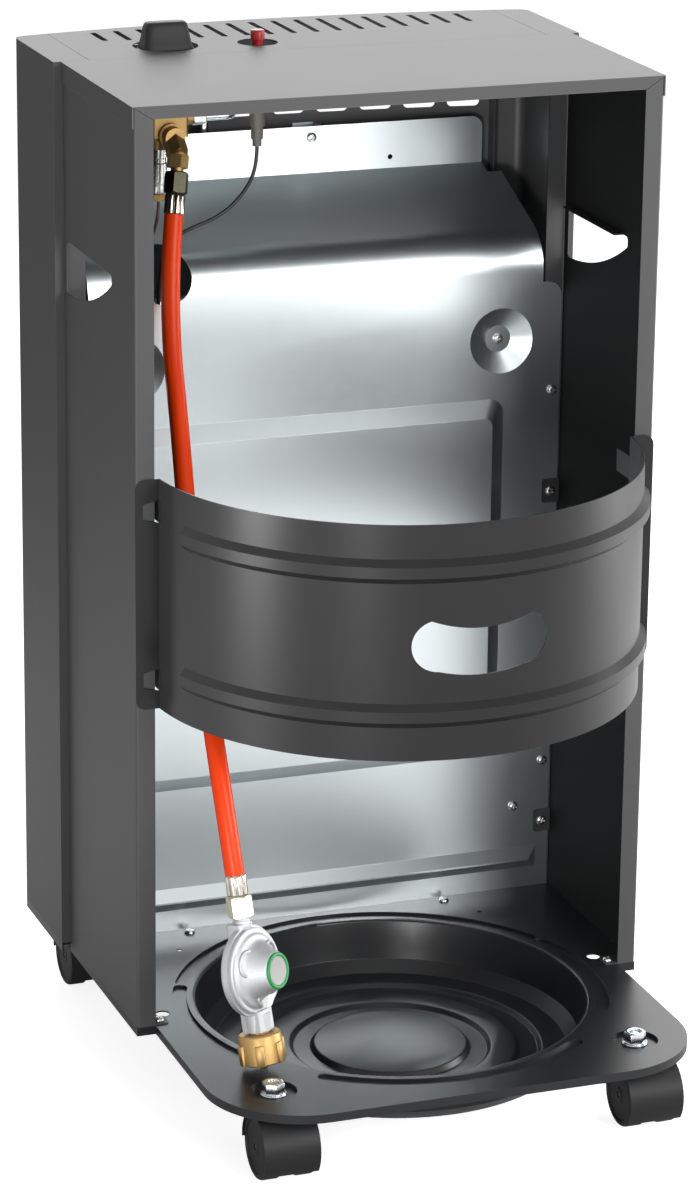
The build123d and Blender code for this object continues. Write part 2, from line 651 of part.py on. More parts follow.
def make_heat_shield():
    half = SHIELD_W / 2
    panel = Pos(0, SHIELD_H / 2) * Rectangle(SHIELD_W, SHIELD_H)
    panel = fillet(panel.vertices().filter_by(lambda v: v.Y > 1), 12)
    shield = facing(panel, SEAM_Y, SHIELD_FACE)
    hood = shield_hood()
    strip = Pos(0, (STRIP_BOTTOM + STRIP_TOP) / 2) * Rectangle(2 * STRIP_HALF, STRIP_TOP - STRIP_BOTTOM)
    strip = fillet(strip.vertices().filter_by(lambda v: v.Y > STRIP_TOP - 1), 9)
    corner = box(STRIP_HALF, HOOD_HALF + 1, STRIP_Y - 2, STRIP_Y + 14, STRIP_BOTTOM - 30, STRIP_TOP)
    hood -= both_sides(corner)
    shield += hood
    shield += facing(strip, STRIP_Y - SHIELD_T / 2, STRIP_Y + SHIELD_T / 2)
    boss_z = (PANEL_BOSS_Z[0] + PANEL_BOSS_Z[1]) / 2
    boss_h = PANEL_BOSS_Z[1] - PANEL_BOSS_Z[0]
    outer, inner = embossed(PANEL_BOSS_W, boss_h, PANEL_BOSS_BEVEL, PANEL_BOSS_RISE, boss_z, 12)
    shield = shield + outer - inner
    outer, inner = embossed(RIB_L, RIB_W, RIB_W / 2 - 0.8, RIB_RISE, RIB_Z, 0)
    shield = shield + outer - inner
    dish = trace(Polyline((DISH_R + 1, 0), (DISH_R - 1, 0), (11, -DISH_DEPTH), (SCREW_R, -DISH_DEPTH)), SHIELD_T)
    dish = revolve(dish, axis=Axis.Y)
    for x in (DISH_X, -DISH_X):
        shield -= screw_holes([(x, DISH_Z)], DISH_R - 0.4, SEAM_Y - 2, SHIELD_FACE + 1)
        shield += Pos(x, SEAM_Y + SHIELD_T / 2, DISH_Z) * dish
    shield -= screw_holes([(PORT_X, PORT_Z)], PORT_R, SEAM_Y - 40, SHIELD_FACE + 1)
    shield -= screw_holes(face_screws(), SCREW_R + SCREW_FIT, SEAM_Y - 15, SHIELD_FACE + 2)
    shield -= screw_holes([STRIP_SCREW, (FREE_HOLE[0], STRIP_TOP - FREE_HOLE[1])], SCREW_R + SCREW_FIT, STRIP_Y - 3, STRIP_Y + 3)
    keep("heat_shield", shield)


def face_screws():
    """Places (x, z) of the screws that go through the shield along Y."""
    places = []
    for side in (1, -1):
        places += [(side * EDGE_SCREW_X, z) for z in EDGE_SCREW_Z]
        places += [(side * LOW_SCREW[0], LOW_SCREW[1]), (side * DISH_X, DISH_Z)]
    return places


def screw(length):
    """Pan-head screw along +Y: the head's underside at y = 0, with a cross recess."""
    profile = outline(
        (0, -length), (SCREW_R, -length), (SCREW_R, 0), (SCREW_HEAD_R, 0),
        (SCREW_HEAD_R, SCREW_HEAD_H * 0.55), (SCREW_HEAD_R * 0.6, SCREW_HEAD_H), (0, SCREW_HEAD_H)
    )
    body = revolve(profile, axis=Axis.Y)
    body -= box(-2.4, 2.4, SCREW_HEAD_H - 1.2, SCREW_HEAD_H + 1, -0.45, 0.45)
    return body - box(-0.45, 0.45, SCREW_HEAD_H - 1.2, SCREW_HEAD_H + 1, -2.4, 2.4)


def make_screws():
    seats = []
    for x, z in face_screws():
        seat = SHIELD_FACE
        if abs(abs(x) - EDGE_SCREW_X) < 1 and z in TAB_Z:
            seat = SHIELD_FACE + SHEET
        if abs(abs(x) - DISH_X) < 1:
            seat = SEAM_Y + SHIELD_T - DISH_DEPTH
        seats.append((x, seat, z))
    seats.append((STRIP_SCREW[0], STRIP_Y + SHIELD_T / 2, STRIP_SCREW[1]))
    keep("shield_screws", Compound([Pos(*seat) * screw(7.0) for seat in seats]))
    upright_screw = Rot(90, 0, 0) * screw(6.0)
    floor = []
    for x, y in pan_screw_places():
        z = SHEET if abs(y) < 20 else 0
        floor.append(Pos(x, y, z) * upright_screw)
    keep("pan_screws", Compound(floor))


def make_strip_bracket():
    """Folded spacer between the shield's strip and the bowed front panel."""
    x, z = STRIP_SCREW
    near = STRIP_Y - SHIELD_T / 2 - SHEET / 2
    far = bow_y(x, SHEET) + SHEET / 2 + FIT_GAP
    line = FilletPolyline((x + 9, near), (x - 10, near), (x - 10, far), (x + 9, far), radius=1.5)
    bracket = upright(trace(line, SHEET), z - 8, z + 8)
    keep("strip_bracket", bracket - screw_holes([STRIP_SCREW], SCREW_R + SCREW_FIT, near - 2, near + 2))


# ---------------------------------------------------------------- bottle belt
def belt_hand_hole():
    """Kidney-shaped hand hole, drawn in (x, z)."""
    low, high = HAND_Z
    lines = ThreePointArc((-HAND_HALF + 14, high), (0, high - HAND_DIP), (HAND_HALF - 14, high))
    lines += ThreePointArc((HAND_HALF - 14, high), (HAND_HALF, high - 20), (HAND_HALF - 20, low + 4))
    lines += ThreePointArc((HAND_HALF - 20, low + 4), (0, low), (-HAND_HALF + 20, low + 4))
    lines += ThreePointArc((-HAND_HALF + 20, low + 4), (-HAND_HALF, high - 20), (-HAND_HALF + 14, high))
    return make_face(lines)


def make_belt():
    """Half-round bottle belt with two pressed ribs, side flanges and lanced hooks."""
    radius = BELT_R - BELT_T / 2
    low, high = BELT_Z
    ring = trace(Line((radius, low), (radius, high)), BELT_T)
    belt = revolve(Plane.XZ * ring, axis=Axis.Z, revolution_arc=180)
    for z in (low + BELT_RIB_INSET, high - BELT_RIB_INSET):
        half = BELT_RIB_W / 2
        slope = BELT_RIB_RISE
        plug = outline((radius - 3, z - half + 1), (radius + 3, z - half + 1), (radius + 3, z + half - 1),
                       (radius - 3, z + half - 1))
        line = Polyline(
            (radius, z - half - 1), (radius, z - half), (radius + slope, z - half + slope),
            (radius + slope, z + half - slope), (radius, z + half), (radius, z + half + 1)
        )
        spin = Rot(0, 0, BELT_RIB_END)
        arc = 180 - 2 * BELT_RIB_END
        belt -= spin * revolve(Plane.XZ * plug, axis=Axis.Z, revolution_arc=arc)
        belt += spin * revolve(Plane.XZ * trace(line, BELT_T), axis=Axis.Z, revolution_arc=arc)
        cap = outline((radius - 0.5, z - half - 1), (radius + slope + 0.5, z - half + slope),
                      (radius + slope + 0.5, z + half - slope), (radius - 0.5, z + half + 1))
        for angle in (BELT_RIB_END - 0.3, 180 - BELT_RIB_END):
            belt += Rot(0, 0, angle) * revolve(Plane.XZ * cap, axis=Axis.Z, revolution_arc=0.3)
    belt = Pos(0, BELT_CENTRE, 0) * belt
    belt -= box(-BELT_R - 2, BELT_R + 2, BELT_CENTRE - 2, BELT_SEAT, low - 1, high + 1)
    edge = sqrt(radius**2 - (BELT_SEAT - BELT_CENTRE) ** 2)
    flange = Pos((edge + SIDE_X) / 2, (low + high) / 2) * Rectangle(SIDE_X - edge + BELT_T, high - low)
    flange = fillet(flange.vertices().filter_by(lambda v: v.X > SIDE_X - 5), 8)
    flange = facing(flange, BELT_SEAT, BELT_SEAT + BELT_T)
    for z0, z1 in TONGUE_Z:
        flange -= facing(outline((edge + 0.5, z0), (edge + LANCE, z0 + 3), (edge + LANCE, z1 - 3), (edge + 0.5, z1)), -1, 5)
        flange += box(edge - BELT_T / 2, edge + BELT_T / 2, -TONGUE_IN, BELT_SEAT + BELT_T, z0, z1)
    belt += both_sides(flange)
    belt -= facing(belt_hand_hole(), 60, BELT_R)
    keep("bottle_belt", belt)


# ---------------------------------------------------------------- castors
def make_castor(name, x, y):
    """Twin-wheel castor with a hood: the hood swivels on the stem, the wheels turn with their axle."""
    axle_y = y + TRAIL
    at_axle = Plane.YZ.offset(x - HOOD_W / 2)
    lid = Circle(HOOD_R) - Circle(HOOD_R - HOOD_T)
    lid -= Polygon((0, 0), (-60, -4), (-60, -80), (30, -80), (26, -19), align=None)
    lid = extrude(at_axle * Pos(axle_y, AXLE_Z) * lid, HOOD_W)
    web_shape = Circle(HOOD_R) - Polygon((-60, -9), (-60, -80), (60, -80), (60, -14), align=None)
    web = extrude(Plane.YZ.offset(x - WEB_W / 2) * Pos(axle_y, AXLE_Z) * web_shape, WEB_W)
    top = -POCKET_DEPTH - PAN_T - FIT_GAP
    socket = upright(Pos(x, y) * Circle(8.5), -24, top - 1.2)
    wheel_room = Circle(HOOD_R - HOOD_T)
    for x0 in (x + WEB_W / 2, x - HOOD_W / 2 - 1):
        socket -= extrude(Plane.YZ.offset(x0) * Pos(axle_y, AXLE_Z) * wheel_room, HOOD_W / 2 - WEB_W / 2 + 1)
    hood = lid + web + socket
    hood -= upright(Pos(x, y) * Circle(NECK_R + RUN_FIT), -19, 0)
    hood -= rod(AXLE_R + RUN_FIT, (x - HOOD_W, axle_y, AXLE_Z), (x + HOOD_W, axle_y, AXLE_Z))
    keep(f"castor_hood_{name}", hood)

    wheel = outline(
        (0, WHEEL_R - 1.5), (1.5, WHEEL_R), (WHEEL_W - 2.5, WHEEL_R), (WHEEL_W, WHEEL_R - 2.5),
        (WHEEL_W, WHEEL_R - 5), (WHEEL_W - 1.2, WHEEL_R - 6), (WHEEL_W - 1.2, AXLE_R), (0, AXLE_R)
    )
    wheel = revolve(wheel, axis=Axis.X)
    inner = WEB_W / 2 + 0.5
    right = Pos(x + inner, axle_y, AXLE_Z) * wheel
    left = Pos(x - inner, axle_y, AXLE_Z) * mirror(wheel, about=Plane.YZ)
    keep(f"castor_wheels_{name}", Compound([right, left]))
    reach = inner + WHEEL_W - 1.4
    keep(f"castor_axle_{name}", rod(AXLE_R, (x - reach, axle_y, AXLE_Z), (x + reach, axle_y, AXLE_Z)))


def make_castor_fixings():
    """Stems, washers and nuts: one of each at every castor."""
    collar = -POCKET_DEPTH - PAN_T
    washer_top = -POCKET_DEPTH + WASHER_T
    stems = []
    washers = []
    nuts = []
    for x, y in STEMS:
        stem = upright(Pos(x, y) * Circle(STEM_R), collar, STEM_TOP)
        stem += upright(Pos(x, y) * Circle(7.5), collar - FIT_GAP - 1.0, collar)
        stem += upright(Pos(x, y) * Circle(NECK_R), -18.5, collar)
        stems.append(chamfer(stem.edges().sort_by(Axis.Z)[-1], 0.8))
        ring = Circle(WASHER_R) - Circle(STEM_R + 0.1)
        washers.append(upright(Pos(x, y) * ring, -POCKET_DEPTH, washer_top))
        shape = RegularPolygon(NUT_AF / 2, 6, major_radius=False) - Circle(STEM_R)
        nuts.append(upright(Pos(x, y) * shape, washer_top, washer_top + NUT_H))
    keep("castor_stems", Compound(stems))
    keep("castor_washers", Compound(washers))
    keep("castor_nuts", Compound(nuts))


# ---------------------------------------------------------------- controls
def make_controls():
    x, y = KNOB
    top = BODY_H + KNOB_RISE
    skirt = upright(Pos(x, y) * Circle(KNOB_R), BODY_H - KNOB_SINK, BODY_H - KNOB_SINK + 2.5)
    skirt = fillet(skirt.edges().sort_by(Axis.Z)[-1], 1.2)
    foot = Plane.XY.offset(BODY_H - KNOB_SINK) * Pos(x, y) * RectangleRounded(WING_L, WING_T, 5)
    crown = Plane.XY.offset(top) * Pos(x, y) * RectangleRounded(WING_L - WING_TAPER, WING_T / 2, 3.5)
    wing = loft([foot, crown])
    wing = fillet(wing.faces().sort_by(Axis.Z)[-1].edges(), 2.5)
    knob = skirt + wing
    stem_top = BODY_H + 8
    knob -= upright(Pos(x, y) * Circle(STEM_KNOB_R), BODY_H - 10, stem_top)
    keep("control_knob", knob)
    plunger_z = VALVE_TOP + KNOB_PUSH + 1
    stem = upright(Pos(x, y) * Circle(STEM_KNOB_R), VALVE_TOP - 20, stem_top)
    stem += upright(Pos(x, y) * Circle(5.0), plunger_z + 2.2, plunger_z + 4)
    keep("knob_stem", stem)
    ring = Circle(PLUNGER_R) - Circle(STEM_KNOB_R + RUN_FIT)
    keep("valve_plunger", upright(Pos(x, y) * ring, plunger_z, plunger_z + 2.0))

    x, y = BUTTON
    rest = BODY_H + BUTTON_RISE
    cap = outline((0, rest - 8), (BUTTON_R, rest - 8), (BUTTON_R, rest - 1.2), (BUTTON_R - 1.2, rest), (0, rest))
    cap = revolve(Plane.XZ * cap, axis=Axis.Z)
    shaft = upright(Circle(BUTTON_STEM_R), BRACKET_Z - 10, rest - 8)
    keep("igniter_button", Pos(x, y) * (cap + shaft))

    barrel_top = rest - 8 - BUTTON_PUSH - 1.0
    tip, plug, step, collar = (BRACKET_Z - drop for drop in IGNITER_STEPS)
    steps = outline(
        (0, tip), (IGNITER_R - 2.5, tip), (IGNITER_R - 2.5, plug), (IGNITER_R - 1.3, plug),
        (IGNITER_R - 1.3, step), (IGNITER_R, step), (IGNITER_R, collar), (8.0, collar), (8.0, barrel_top),
        (0, barrel_top)
    )
    barrel = revolve(Plane.XZ * steps, axis=Axis.Z)
    barrel -= upright(Circle(BUTTON_STEM_R + RUN_FIT), BRACKET_Z - 10 - BUTTON_PUSH - 1, barrel_top + 1)
    keep("igniter_body", Pos(x, y) * barrel)
    ring = RegularPolygon(11.0, 6, major_radius=False) - Circle(8.0)
    over = BRACKET_Z + BRACKET_T
    keep("igniter_nut", upright(Pos(x, y) * ring, over, over + 4))


def make_valve_bracket():
    """Folded plate under the top that carries the valve and the igniter."""
    half = BRACKET_T / 2
    line = FilletPolyline(
        (BUTTON[0] - 34, BODY_H - SHEET - half),
        (BUTTON[0] - 22, BODY_H - SHEET - half),
        (BUTTON[0] - 22, BRACKET_Z + half),
        (KNOB[0] + 34, BRACKET_Z + half),
        (KNOB[0] + 34, BODY_H - SHEET - half),
        (KNOB[0] + 46, BODY_H - SHEET - half),
        radius=2.0,
    )
    plate = extrude(Plane.XZ.offset(195) * trace(line, BRACKET_T), 45)
    plate -= upright(Pos(*BUTTON) * Circle(8.0 + 0.1), BRACKET_Z - 2, BRACKET_Z + 5)
    plate -= upright(Pos(*KNOB) * Circle(PLUNGER_R + 0.1), BRACKET_Z - 2, BRACKET_Z + 5)
    keep("valve_bracket", plate)


# ---------------------------------------------------------------- gas train
def unit(vector):
    """Vector of length 1."""
    return Vector(*vector).normalized()


def make_valve():
    x, y = KNOB
    body = upright(Pos(x, y) * Circle(VALVE_R), VALVE_LOW, VALVE_TOP)
    block = RectangleRounded(30, 26, 3)
    body += upright(Pos(x, y) * block, BRACKET_Z - VALVE_BLOCK[0], BRACKET_Z - VALVE_BLOCK[1])
    body += upright(Pos(x, y) * RectangleRounded(36, 30, 4), VALVE_TOP - 4, VALVE_TOP)
    body += upright(Pos(x, y) * Circle(NECK_OUT_R), VALVE_TOP - 1, BRACKET_Z)
    body += rod(10.0, (x, y, VALVE_Z), (x, ELBOW_FACE, VALVE_Z))
    body += rod(6.0, (x, y, BRANCH_Z), (x - 21, y, BRANCH_Z))
    body += upright(Pos(x + 6, y) * Circle(9), MAGNET_Z[1], VALVE_Z)
    body -= upright(Pos(x, y) * Circle(STEM_KNOB_R + RUN_FIT), VALVE_TOP - 20 - KNOB_PUSH - 1, BRACKET_Z + 1)
    body -= upright(Pos(x, y) * Circle(PLUNGER_R + RUN_FIT), VALVE_TOP, BRACKET_Z + 1)
    keep("gas_valve", body)
    keep("magnet_unit", upright(Pos(x + 6, y) * Circle(MAGNET_R), *MAGNET_Z))
    shape = RegularPolygon(4.6, 6, major_radius=False)
    nut = upright(Pos(x + 6, y) * shape, MAGNET_Z[0] - 6, MAGNET_Z[0])
    keep("sensor_nut", nut)
    keep("pipe_nut", hexagon(PIPE_NUT_AF, (x - 21, y, BRANCH_Z), (x - 32, y, BRANCH_Z)))


def make_pipe():
    """Rigid pipe from the valve over the strip and down to the burner's inlet."""
    x, y = KNOB
    start = x - 32
    line = FilletPolyline(
        (start, y, BRANCH_Z),
        (start - 24, y, BRANCH_Z),
        (start - 24, STRIP_Y - 10.7, BRANCH_Z),
        (start - 24, STRIP_Y - 10.7, STRIP_BOTTOM - 11.6),
        (PIPE_X - 14, -286.0, STRIP_BOTTOM - 56.6),
        (PIPE_X, -262.0, 300.0),
        (PIPE_X, BURNER_Y, BURNER_Z),
        (BURNER_HALF + 12, BURNER_Y, BURNER_Z),
        radius=8.5,
    )
    keep("burner_pipe", sweep(Plane(origin=line @ 0, z_dir=line % 0) * Circle(PIPE_R), line))


def make_burner():
    tube = rod(BURNER_R, (-BURNER_HALF, BURNER_Y, BURNER_Z), (BURNER_HALF, BURNER_Y, BURNER_Z))
    tube -= rod(BURNER_R - 1.2, (-BURNER_HALF + 1.2, BURNER_Y, BURNER_Z), (BURNER_HALF - 1.2, BURNER_Y, BURNER_Z))
    tube += rod(8.0, (BURNER_HALF, BURNER_Y, BURNER_Z), (BURNER_HALF + 12, BURNER_Y, BURNER_Z))
    ports = Sketch()
    for i in range(PORT_N):
        x = (i - (PORT_N - 1) / 2) * PORT_PITCH
        ports += Pos(x, BURNER_Y) * Rectangle(2.4, 14)
    tube -= upright(ports, BURNER_Z + 5, BURNER_Z + BURNER_R + 1)
    keep("burner", tube)
    crown = SEAM_Y + PANEL_BOSS_RISE
    under = BURNER_Z - BURNER_R
    arm = box(-7, 7, BURNER_Y - 12, crown, under - SHEET, under)
    arm += box(-7, 7, crown - SHEET, crown, under - 22, under)
    arms = [Pos(x, 0, 0) * arm for x in (-BURNER_HALF + 20, BURNER_HALF - 20)]
    keep("burner_arms", Compound(arms))

    deck = BURNER_Z + BURNER_R + 28
    spark_x, spark_y, spark_top = IGNITER_LEAD[-1]
    sense_x, sense_y, sense_top = SENSOR_LEAD[-1]
    bracket = box(spark_x - 12, sense_x + 10, BURNER_Y - 7, BURNER_Y + 13, deck, deck + 1.5)
    bracket += box(spark_x - 12, spark_x - 10.5, BURNER_Y - 7, BURNER_Y + 13, BURNER_Z, deck)
    bracket -= rod(BURNER_R + 0.02, (spark_x - 20, BURNER_Y, BURNER_Z), (spark_x, BURNER_Y, BURNER_Z))
    bracket -= rod(3.0, (spark_x, spark_y, deck - 5), (spark_x, spark_y, deck + 5))
    bracket -= rod(2.5, (sense_x, sense_y, deck - 5), (sense_x, sense_y, deck + 5))
    keep("pilot_bracket", bracket)
    spark = rod(3.0, (spark_x, spark_y, deck - 8), (spark_x, spark_y, spark_top))
    spark += rod(0.9, (spark_x, spark_y, deck - 24), (spark_x, spark_y, deck - 8))
    keep("spark_electrode", spark)
    sense = rod(2.5, (sense_x, sense_y, deck - 22), (sense_x, sense_y, sense_top))
    keep("thermocouple", sense)


def fluted(start, end):
    """Crimped ferrule between two points, with flutes all round."""
    path = Line(start, end)
    shape = Circle(FERRULE_R) - [Rot(0, 0, 45 * i) * Pos(FERRULE_R + 1.1, 0) * Circle(2.0) for i in range(8)]
    return sweep(Plane(origin=start, z_dir=path % 0) * shape, path)


def make_hose_top():
    """Crimp ferrule, union nut and 45 degree elbow from the hose up to the valve's inlet boss."""
    end = Vector(*HOSE[0])
    axis = (end - Vector(*HOSE[1])).normalized()
    a = end + axis * FERRULE_L
    b = a + axis * HOSE_NUT_L
    keep("top_ferrule", fluted(end, a))
    keep("top_nut", hexagon(HOSE_NUT_AF, a, b))
    corner = b + axis * 13
    face = Vector(KNOB[0], ELBOW_FACE, VALVE_Z)
    elbow = rod(5.0, b, b + axis * 4) + hexagon(ELBOW_AF, b + axis * 3.0, corner)
    elbow += Pos(*corner) * Sphere(ELBOW_AF / 2)
    leg = (face - corner).normalized()
    near = face + Vector(0, 3.0, 0)
    elbow += hexagon(ELBOW_AF, corner, corner + leg * ((near - corner).length))
    elbow += rod(8.0, face, face + Vector(0, 9.0, 0))
    elbow -= box(KNOB[0] - 20, KNOB[0] + 20, ELBOW_FACE - 20, ELBOW_FACE, VALVE_Z - 20, VALVE_Z + 20)
    keep("inlet_elbow", elbow)


def tube_along(points, radius, bore):
    """Flexible tube through points: each corner is an arc as wide as its runs allow."""
    lines = []
    knots = [Vector(*p) for p in points]
    last = knots[0]
    length = 0.0
    radii = []
    for before, here, after in zip(knots, knots[1:], knots[2:]):
        into = (here - before).normalized()
        out = (after - here).normalized()
        turn = radians(into.get_angle(out))
        reach = 0.45 * min((here - before).length, (after - here).length)
        start = here - into * reach
        stop = here + out * reach
        bend = reach / tan(turn / 2)
        radii.append(round(bend, 1))
        lines.append(Line(last, start))
        lines.append(tangent_arc(start, here, stop, bend))
        length += (start - last).length + bend * turn
        last = stop
    lines.append(Line(last, knots[-1]))
    length += (knots[-1] - last).length
    path = Wire([edge for line in lines for edge in line.edges()])
    section = Circle(radius) - Circle(bore) if bore else Circle(radius)
    tube = sweep(Plane(origin=knots[0], z_dir=(knots[1] - knots[0])) * section, path)
    area = pi * (radius**2 - bore**2)
    print("length", round(length, 1), "volume ratio", round(tube.volume / (area * length), 4), "radii", radii)
    return tube


def tangent_arc(start, corner, stop, bend):
    """Arc that leaves start towards corner and reaches stop."""
    middle = (start + stop) * 0.5
    out = (middle - corner).normalized()
    half_turn = atan((corner - start).length / bend)
    sagitta = bend * (1 - cos(half_turn))
    return ThreePointArc(start, middle - out * sagitta, stop)


def make_hose_bottom():
    """Ferrule, union nut, regulator and bottle connection, all on one line through the hose's end."""
    end = Vector(*HOSE[-1])
    axis = (Vector(*HOSE[-2]) - end).normalized()
    foot = end - axis * REG_SPAN
    face = unit(REG_FACE)
    face = (face - axis * face.dot(axis)).normalized()
    frame = Plane(origin=foot, x_dir=face, z_dir=axis).location
    nut_top = REG_SPAN - FERRULE_L
    nut_low = nut_top - HOSE_NUT_L
    keep("bottom_ferrule", fluted(end - axis * FERRULE_L, end))
    shape = RegularPolygon(HOSE_NUT_AF / 2, 6, major_radius=False)
    keep("bottom_nut", frame * upright(shape, nut_low, nut_top))

    body = regulator_body(nut_low)
    keep("regulator_body", frame * body)
    at_face = Pos(0, 0, REG_CENTRE) * Rot(0, 90, 0)
    bonnet = outline(
        (0, 3.0), (REG_R - 2.0, 3.0), (REG_R - 2.0, 6.0), (REG_R - 6.0, 8.5), (REG_R - 11.0, 10.0), (14.0, 25.0),
        (0, 25.0)
    )
    bonnet = revolve(Plane.XZ * bonnet, axis=Axis.Z)
    keep("regulator_bonnet", frame * at_face * bonnet)
    ring = revolve(Plane.XZ * outline((11.0, 25.0), (14.0, 25.0), (13.2, 27.0), (11.0, 27.0)), axis=Axis.Z)
    keep("regulator_ring", frame * at_face * ring)
    keep("regulator_cap", frame * at_face * upright(Circle(11.0), 25.0, 26.2))

    nut = upright(Circle(WING_NUT_R) - Circle(SPIGOT_R + RUN_FIT), 6.0, 6.0 + WING_NUT_H)
    lug = upright(Pos(WING_NUT_R + 0.8, 0) * RectangleRounded(4.6, 7.5, 1.5), 6.0, 6.0 + WING_NUT_H * 0.7)
    for i in range(LUG_N):
        nut += Rot(0, 0, 360 / LUG_N * i) * lug
    nut -= upright(Circle(THREAD_R), 5.0, 17.3)
    keep("bottle_nut", frame * nut)
    tip = outline((0, 0.6), (2.0, 0.6), (4.5, 3.0), (4.5, 12.0), (6.5, 14.0), (THREAD_R - 0.5, 14.0),
                  (THREAD_R - 0.5, 17.0), (SPIGOT_R, 17.0), (SPIGOT_R, 30.5), (0, 30.5))
    keep("outlet_spigot", frame * revolve(Plane.XZ * tip, axis=Axis.Z))


def regulator_body(nut_low):
    """Die-cast lower half with its inlet and outlet necks, standing along Z with the bonnet towards +X."""
    disc = outline(
        (0, -REG_BODY_T), (18.0, -REG_BODY_T), (REG_R - 8.0, -7.0), (REG_R - 1.5, -3.0), (REG_R, -1.0),
        (REG_R, 3.0), (0, 3.0)
    )
    body = Pos(0, 0, REG_CENTRE) * Rot(0, 90, 0) * revolve(Plane.XZ * disc, axis=Axis.Z)
    neck_low = Cone(OUTLET_R, OUTLET_R + 1.0, 18.0, align=(Align.CENTER, Align.CENTER, Align.MIN))
    neck_high = upright(Circle(6.2), REG_CENTRE + 20, nut_low)
    collar = upright(Pos(-3, 0) * RectangleRounded(15, 17, 3), REG_CENTRE + 22, REG_CENTRE + 37)
    body += Pos(0, 0, 30.5) * neck_low + neck_high + collar
    seat = Pos(0, 0, REG_CENTRE) * Rot(0, 90, 0) * upright(Circle(REG_R + 8), 3.0, 40)
    upper = box(-50, 60, -50, 50, 44.0, REG_CENTRE + 34)
    return body - (seat & upper)


# ---------------------------------------------------------------- everything, in order
def build():
    make_base_pan()
    side = make_side_panel()
    keep("side_panel_left", side)
    keep("side_panel_right", mirror(side, about=Plane.YZ))
    make_rear_top()
    skin = shell_skin()
    front = make_front_shell(skin)
    keep("front_shell_left", front)
    keep("front_shell_right", mirror(front, about=Plane.YZ))
    make_front_top(skin)
    make_front_panel(skin)
    make_burner_guard()
    make_heat_shield()
    make_screws()
    make_strip_bracket()
    make_belt()
    names = ("rear_left", "rear_right", "front_left", "front_right")
    for name, (x, y) in zip(names, STEMS):
        make_castor(name, x, y)
    make_castor_fixings()
    make_controls()
    make_valve_bracket()
    make_valve()
    make_pipe()
    make_burner()
    make_hose_top()
    keep("hose", tube_along(HOSE, HOSE_R, HOSE_BORE_R))
    make_hose_bottom()
    keep("igniter_lead", tube_along(IGNITER_LEAD, IGNITER_LEAD_R, 0))
    keep("sensor_lead", tube_along(SENSOR_LEAD, SENSOR_LEAD_R, 0))


build()
for name, part in PARTS.items():
    export_step(PLACE * part, f"parts/{name}.step")
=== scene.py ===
"""Portable gas cabinet heater, seen from its open back: finishes, modelled fittings and a plain studio."""
import json
from math import cos, pi, radians, sin, sqrt, tan

import bmesh
import bpy
from bpy.props import FloatProperty, FloatVectorProperty, PointerProperty
from mathutils import Matrix, Vector


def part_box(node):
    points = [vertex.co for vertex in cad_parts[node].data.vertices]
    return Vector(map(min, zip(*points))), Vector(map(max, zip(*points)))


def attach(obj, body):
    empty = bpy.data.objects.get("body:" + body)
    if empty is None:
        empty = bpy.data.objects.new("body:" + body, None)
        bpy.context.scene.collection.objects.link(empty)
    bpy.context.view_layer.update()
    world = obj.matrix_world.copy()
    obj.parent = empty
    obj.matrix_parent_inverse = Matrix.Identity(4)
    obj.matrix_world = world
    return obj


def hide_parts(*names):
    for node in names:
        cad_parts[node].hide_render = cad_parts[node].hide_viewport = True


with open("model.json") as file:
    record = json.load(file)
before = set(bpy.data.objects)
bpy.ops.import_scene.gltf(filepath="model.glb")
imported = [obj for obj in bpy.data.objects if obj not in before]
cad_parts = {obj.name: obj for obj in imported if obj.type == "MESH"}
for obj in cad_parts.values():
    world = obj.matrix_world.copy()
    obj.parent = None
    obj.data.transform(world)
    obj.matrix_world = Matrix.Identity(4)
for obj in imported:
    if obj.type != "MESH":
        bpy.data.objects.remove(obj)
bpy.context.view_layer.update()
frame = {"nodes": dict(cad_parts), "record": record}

bl_info = {
    "name": "Gas cabinet heater",
    "version": (1, 0, 0),
    "blender": (4, 5, 0),
    "location": "View3D > Sidebar > Heater",
    "description": "Dresses a portable gas cabinet heater around its construction frame",
    "category": "Add Mesh",
}

MM = 0.001
PAN_TOP = 60 * MM  # the pan's top above the floor
REAR = 58.5 * MM  # the open back's plane along Y
WELD = 2e-6  # vertices nearer than this are one
FLAT = radians(0.6)  # faces that differ less than this lie in one plane
SOFT_ANGLE = 32.0  # edges flatter than this are smooth, in degrees


def at(x, y, z):
    """Point from the cabinet's own sizes: y from the rear plane, z from the top of the pan, in millimetres."""
    return Vector((x * MM, y * MM + REAR, z * MM + PAN_TOP))


# Control points of the hose, from the top ferrule to the bottom one, and of the two leads, in millimetres
HOSE_ROUTE = (
    (121.6, -178.0, 596.3),
    (129.0, -165.5, 555.0),
    (134.7, -143.0, 498.4),
    (137.0, -122.0, 462.5),
    (142.0, -90.0, 411.4),
    (148.0, -58.0, 365.0),
    (156.0, 5.0, 282.0),
    (160.1, 63.6, 200.7),
    (155.4, 75.0, 149.0),
)
IGNITER_ROUTE = (
    (41.0, -216.0, 638.0),
    (41.0, -216.0, 618.0),
    (56.0, -214.0, 597.0),
    (75.0, -211.0, 584.0),
    (99.0, -208.0, 577.5),
    (120.0, -200.0, 570.0),
    (126.0, -196.0, 552.0),
    (124.0, -212.0, 520.0),
    (118.0, -226.0, 470.0),
    (114.0, -232.0, 412.0),
    (110.0, -238.0, 356.0),
    (110.0, -238.0, 302.0),
)
SENSOR_ROUTE = (
    (120.0, -222.5, 598.0),
    (120.0, -222.5, 586.0),
    (127.0, -213.0, 575.0),
    (134.0, -202.0, 566.0),
    (137.0, -197.0, 548.0),
    (136.0, -212.0, 523.0),
    (132.0, -226.0, 486.0),
    (127.0, -236.0, 438.0),
    (122.0, -242.0, 388.0),
    (122.0, -242.0, 340.0),
)


